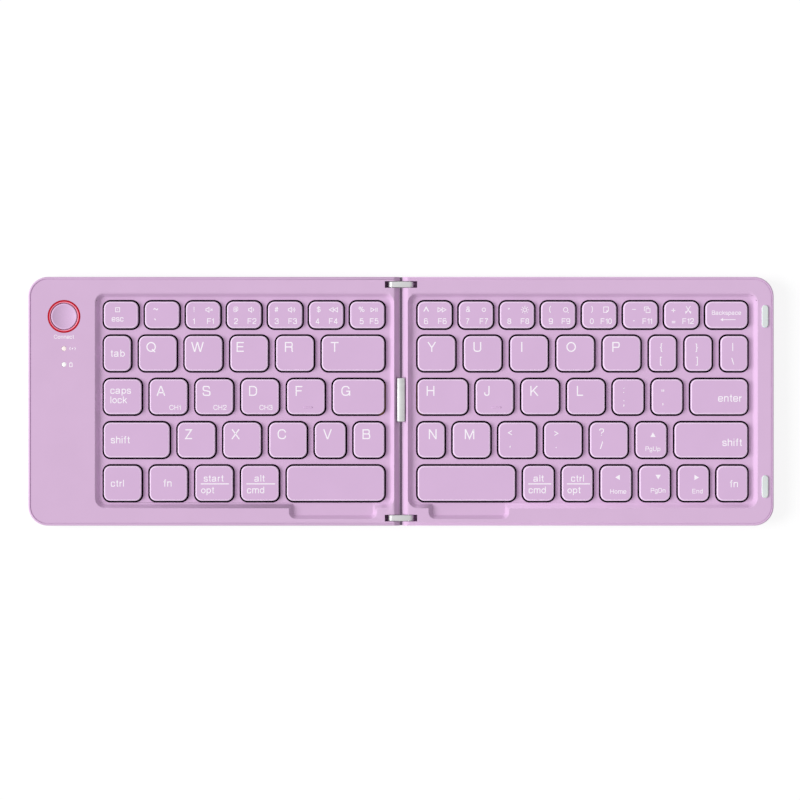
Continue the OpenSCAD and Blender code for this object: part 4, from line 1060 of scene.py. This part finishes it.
class KEYBOARD_OT_controls(bpy.types.Operator):
    """Makes the red ring, the dished connect button and the two lights"""

    bl_idname = "folding_keyboard.controls"
    bl_label = "Connect controls"

    def execute(self, context):
        colours = context.scene.keyboard_colours
        at = ((RING_BOX[0].x + RING_BOX[1].x) / 2, (RING_BOX[0].y + RING_BOX[1].y) / 2)
        self.ring(at, colours)
        self.button(at, colours)
        self.lights(at)
        return {"FINISHED"}

    def ring(self, at, colours):
        """A flat ring with rounded lips: its profile runs down the inside and up the outside."""
        outer = (RING_BOX[1].x - RING_BOX[0].x) / 2
        band, lip, low, top = 1.06 * MM, 0.28 * MM, RING_BOX[0].z, RING_BOX[1].z
        outside = quarter(0, top, lip)
        inside = [(band - inset, height) for inset, height in outside[::-1]]
        profile = outside + inside + [(band, low), (0, low)]
        part = carried(circle(outer), profile + profile[:1], at, ends=False)
        red, pale = tuple(colours.ring), tuple(colours.ring_lip)
        edge = tuple((a + b) / 2 for a, b in zip(red, pale))
        material = finish("Ring_red", red, 0.5, tone=0.04, grain=0.0008, Specular_IOR_Level=0.05)
        banded(material, at, outer - band, outer,
               [(0.0, pale), (0.34, pale), (0.41, red), (0.93, red), (1.0, edge)])
        ring = add_piece("connect_red_ring", [part], material, body_of("connect_ring"))
        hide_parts("connect_ring")

    def button(self, at, colours):
        """A round button: stem, flange and a dish, as deep as the square of the way inwards."""
        radius, low, top, steps = 5.0 * MM, BUTTON_BOX[0].z, BUTTON_BOX[1].z, 4
        stem, edge, dish, middle, tint = 1.3 * MM, 0.22 * MM, 0.75 * MM, 0.05 * MM, 0.95
        flange = radius - (BUTTON_BOX[1].x - BUTTON_BOX[0].x) / 2
        shelf, under = FACE - 1.2 * MM, FACE - 1.8 * MM
        profile = [(radius - stem, low), (radius - stem, under), (flange, under), (flange, shelf),
                   (0, shelf)]
        highlight_share = [0] * (len(profile) + 1) + [1] * steps
        profile += quarter(0, top, edge, steps)
        inset = np.linspace(edge, radius - middle, 14)[1:]
        depth = dish * (1 - ((radius - inset) / (radius - edge)) ** 2)
        profile += list(zip(inset, top - depth))
        highlight_share += [0] * (len(profile) - len(highlight_share))
        part = carried(circle(radius), profile, at)
        rims = np.repeat(highlight_share, len(part[0]) // len(profile))
        # Painted highlight: the button's colour is lightened on its round top edge.
        material = painted_rim_highlight(finish("Button_plastic", [tint * c for c in colours.caps], 0.3,
                                   tone=0.015, grain=0.0015, Specular_IOR_Level=0.3), lighter=1.2)
        button = add_piece("connect_round_button", [part], material, body_of("connect_button"),
                           turn=40, rims=[rims])
        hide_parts("connect_button")

    def lights(self, at):
        """Two light pipes with domed ends: the dome is a quarter ellipse about the axis."""
        radius, rise, steps = (LIGHTS_BOX[1].x - LIGHTS_BOX[0].x) / 2, 0.15 * MM, 7
        turn = np.linspace(0, np.pi / 2, steps + 1)[:-1]
        dome = zip(radius * (1 - np.cos(turn)), LIGHTS_BOX[1].z - rise * (1 - np.sin(turn)))
        profile = [(0, LIGHTS_BOX[0].z), *dome]
        for name, y, colour in (("upper", 20.5 * MM, (1.0, 0.87, 0.85)),
                                ("lower", 14.3 * MM, (1.0, 0.99, 1.0))):
            material = finish("Light_lens_" + name, colour, 0.2, tone=0.02, tone_size=1,
                              grain=0.0005, Coat_Weight=0.3)
            part = carried(circle(radius, 32), profile, (at[0], y))
            light = add_piece("light_" + name, [part], material, body_of("indicator_lights"))
            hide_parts("indicator_lights")


class KEYBOARD_OT_inside(bpy.types.Operator):
    """Splits the domes and scissors by the caps over them, and finishes what is in the bay"""

    bl_idname = "folding_keyboard.inside"
    bl_label = "Inside"

    def execute(self, context):
        give("switch_plate", "Plate_steel", (0.4, 0.4, 0.42), 0.35, tone=0.06, grain=0.002,
             Metallic=1.0, stretch=(0.1, 1, 1))
        # Painted shadow: the membrane is near black so that the gaps round the caps read dark.
        give("membrane", "Membrane_film", (0.008, 0.004, 0.009), 0.8, tone=0.25, tone_size=3,
             grain=0.002, Specular_IOR_Level=0.1)
        rubber = finish("Dome_rubber", (0.5, 0.5, 0.52), 0.55, tone=0.05, grain=0.003,
                        Subsurface_Weight=0.2)
        nylon = finish("Scissor_nylon", (0.05, 0.045, 0.055), 0.45, tone=0.1, grain=0.002)
        for side in ("left", "right"):
            self.givers(side + "_domes", "dome_", rubber, "dome_rubber")
            self.givers(side + "_scissors", "scissor_", nylon, "scissor_plastic")
        give("main_board", "Board_lacquer", (0.012, 0.10, 0.035), 0.3, tone=0.25, tone_size=1.5,
             grain=0.006, grain_size=0.5, Coat_Weight=0.4)
        give("battery", "Battery_foil", (0.55, 0.56, 0.60), 0.38, tone=0.06, tone_size=4,
             grain=0.02, grain_size=2.5, Metallic=0.6)
        give("charging_port", "Port_shell", (0.66, 0.66, 0.67), 0.26, tone=0.05, grain=0.001,
             Metallic=1.0)
        give("connect_switch", "Switch_body", (0.03, 0.03, 0.032), 0.45, tone=0.1, grain=0.003)
        return {"FINISHED"}

    def givers(self, node, prefix, material, slot):
        """Splits a solid by the caps over it, one part for each key.

        Triangles go to the cap whose box is over their middle, and points in one place are merged.
        Each part rides on the solid's own body."""
        corners = triangles(node)
        x, y = corners.mean(1)[:, 0], corners.mean(1)[:, 1]
        for key in KEYS:
            under = np.zeros(len(corners), bool)
            for middle_x, middle_y, width, depth in cap_boxes(key):
                under |= (np.abs(x - middle_x) < width / 2) & (np.abs(y - middle_y) < depth / 2)
            if not under.any():
                continue
            places, index = np.unique(np.round(corners[under].reshape(-1, 3), 7), axis=0,
                                      return_inverse=True)
            faces = index.reshape(-1, 3)
            faces = faces[(faces != np.roll(faces, 1, 1)).all(1)].tolist()
            piece = add_piece(prefix + key, [(places, faces)], material, body_of(node))
            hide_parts(node)
            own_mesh(piece)


class KEYBOARD_OT_stage(bpy.types.Operator):
    """Makes the floor, the light and the camera that looks straight down"""

    bl_idname = "folding_keyboard.stage"
    bl_label = "Stage"

    def execute(self, context):
        context.scene.view_settings.view_transform = "Standard"
        self.floor()
        self.world(context)
        self.camera(context)
        lamp = bpy.data.lights.new("key_light", "SUN")
        lamp.energy = context.scene.keyboard_stage.key_light
        lamp.angle = np.radians(35)
        new_object("key_light", lamp).rotation_euler = (0, np.radians(-55), 0)
        return {"FINISHED"}

    def floor(self):
        """A sheet of four metres each way; what the camera sees of it is mixed with white."""
        half, towards_white = 4.0, 0.8
        material = finish("Floor_paper", (0.88, 0.88, 0.89), 0.9, tone=0.004, tone_size=400,
                          grain=0.0, grain_size=5)
        tree = material.node_tree
        seen = self.seen(tree)
        dark, glow, white = [add_node(tree, "Emission", Strength=strength).outputs[0]
                             for strength in (0.0, 0.22, 1.0)]
        both = add_node(tree, "AddShader", tree.nodes["Principled BSDF"].outputs[0],
                        mixed(tree, seen, dark, glow)).outputs[0]
        share = worked_out(tree, "MULTIPLY", seen, towards_white)
        plug(tree, tree.nodes["Material Output"], Surface=mixed(tree, share, both, white))
        corners = np.array([[-1, -1, 0], [1, -1, 0], [1, 1, 0], [-1, 1, 0]]) * half
        floor = new_piece("floor", corners, [[0, 1, 2, 3]], material)

    def seen(self, tree):
        """One where the ray comes from the camera, a gloss or a glass, nought elsewhere."""
        rays = add_node(tree, "LightPath").outputs
        first = worked_out(tree, "MAXIMUM", rays["Is Camera Ray"], rays["Is Glossy Ray"])
        return worked_out(tree, "MAXIMUM", first, rays["Is Transmission Ray"])

    def world(self, context):
        """Even light from all round, and white where the camera sees it."""
        world = bpy.data.worlds.new("Studio")
        context.scene.world = world
        world.use_nodes = True
        tree = world.node_tree
        room = plug(tree, tree.nodes["Background"], Color=(1, 1, 1, 1),
                    Strength=context.scene.keyboard_stage.ambient)
        backdrop = add_node(tree, "Background", Color=(1, 1, 1, 1))
        pick = mixed(tree, self.seen(tree), room.outputs[0], backdrop.outputs[0])
        plug(tree, tree.nodes["World Output"], Surface=pick)

    def camera(self, context):
        """Straight down from where 800 pixels cover 311.2 mm of the face."""
        across, middle = 311.2 * MM, (-0.39 * MM, 0.49 * MM)
        camera = bpy.data.cameras.new("camera")
        camera.lens = context.scene.keyboard_stage.lens
        camera.sensor_width = 36
        camera.clip_end = 20
        view = new_object("camera", camera)
        view.location = (*middle, FACE + across * camera.lens / camera.sensor_width)
        context.scene.camera = view


class KEYBOARD_PT_panel(bpy.types.Panel):
    """The keyboard's settings and pieces"""

    bl_idname = "KEYBOARD_PT_panel"
    bl_label = "Folding keyboard"
    bl_space_type = "VIEW_3D"
    bl_region_type = "UI"
    bl_category = "Keyboard"

    def draw(self, context):
        for group in (context.scene.keyboard_colours, context.scene.keyboard_sizes,
                      context.scene.keyboard_stage):
            for setting in group.bl_rna.properties.keys()[2:]:  # past rna_type and name
                self.layout.prop(group, setting)
        for operator in OPERATORS:
            self.layout.operator(operator.bl_idname)


OPERATORS = (
    KEYBOARD_OT_housing, KEYBOARD_OT_caps, KEYBOARD_OT_printing, KEYBOARD_OT_hinge,
    KEYBOARD_OT_controls, KEYBOARD_OT_inside, KEYBOARD_OT_stage,
)
SETTINGS = {
    "keyboard_colours": KeyboardColours,
    "keyboard_sizes": KeyboardSizes,
    "keyboard_stage": StageSettings,
}


def register():
    for group in SETTINGS.values():
        bpy.utils.register_class(group)
    for name, group in SETTINGS.items():
        setattr(bpy.types.Scene, name, PointerProperty(type=group))
    for operator in OPERATORS:
        bpy.utils.register_class(operator)
    bpy.utils.register_class(KEYBOARD_PT_panel)


def unregister():
    bpy.utils.unregister_class(KEYBOARD_PT_panel)
    for operator in reversed(OPERATORS):
        bpy.utils.unregister_class(operator)
    for name, group in SETTINGS.items():
        delattr(bpy.types.Scene, name)
        bpy.utils.unregister_class(group)


def main():
    register()
    bpy.ops.folding_keyboard.housing()
    bpy.ops.folding_keyboard.caps()
    bpy.ops.folding_keyboard.printing()
    bpy.ops.folding_keyboard.hinge()
    bpy.ops.folding_keyboard.controls()
    bpy.ops.folding_keyboard.inside()
    bpy.ops.folding_keyboard.stage()


if __name__ == "__main__":
    main()
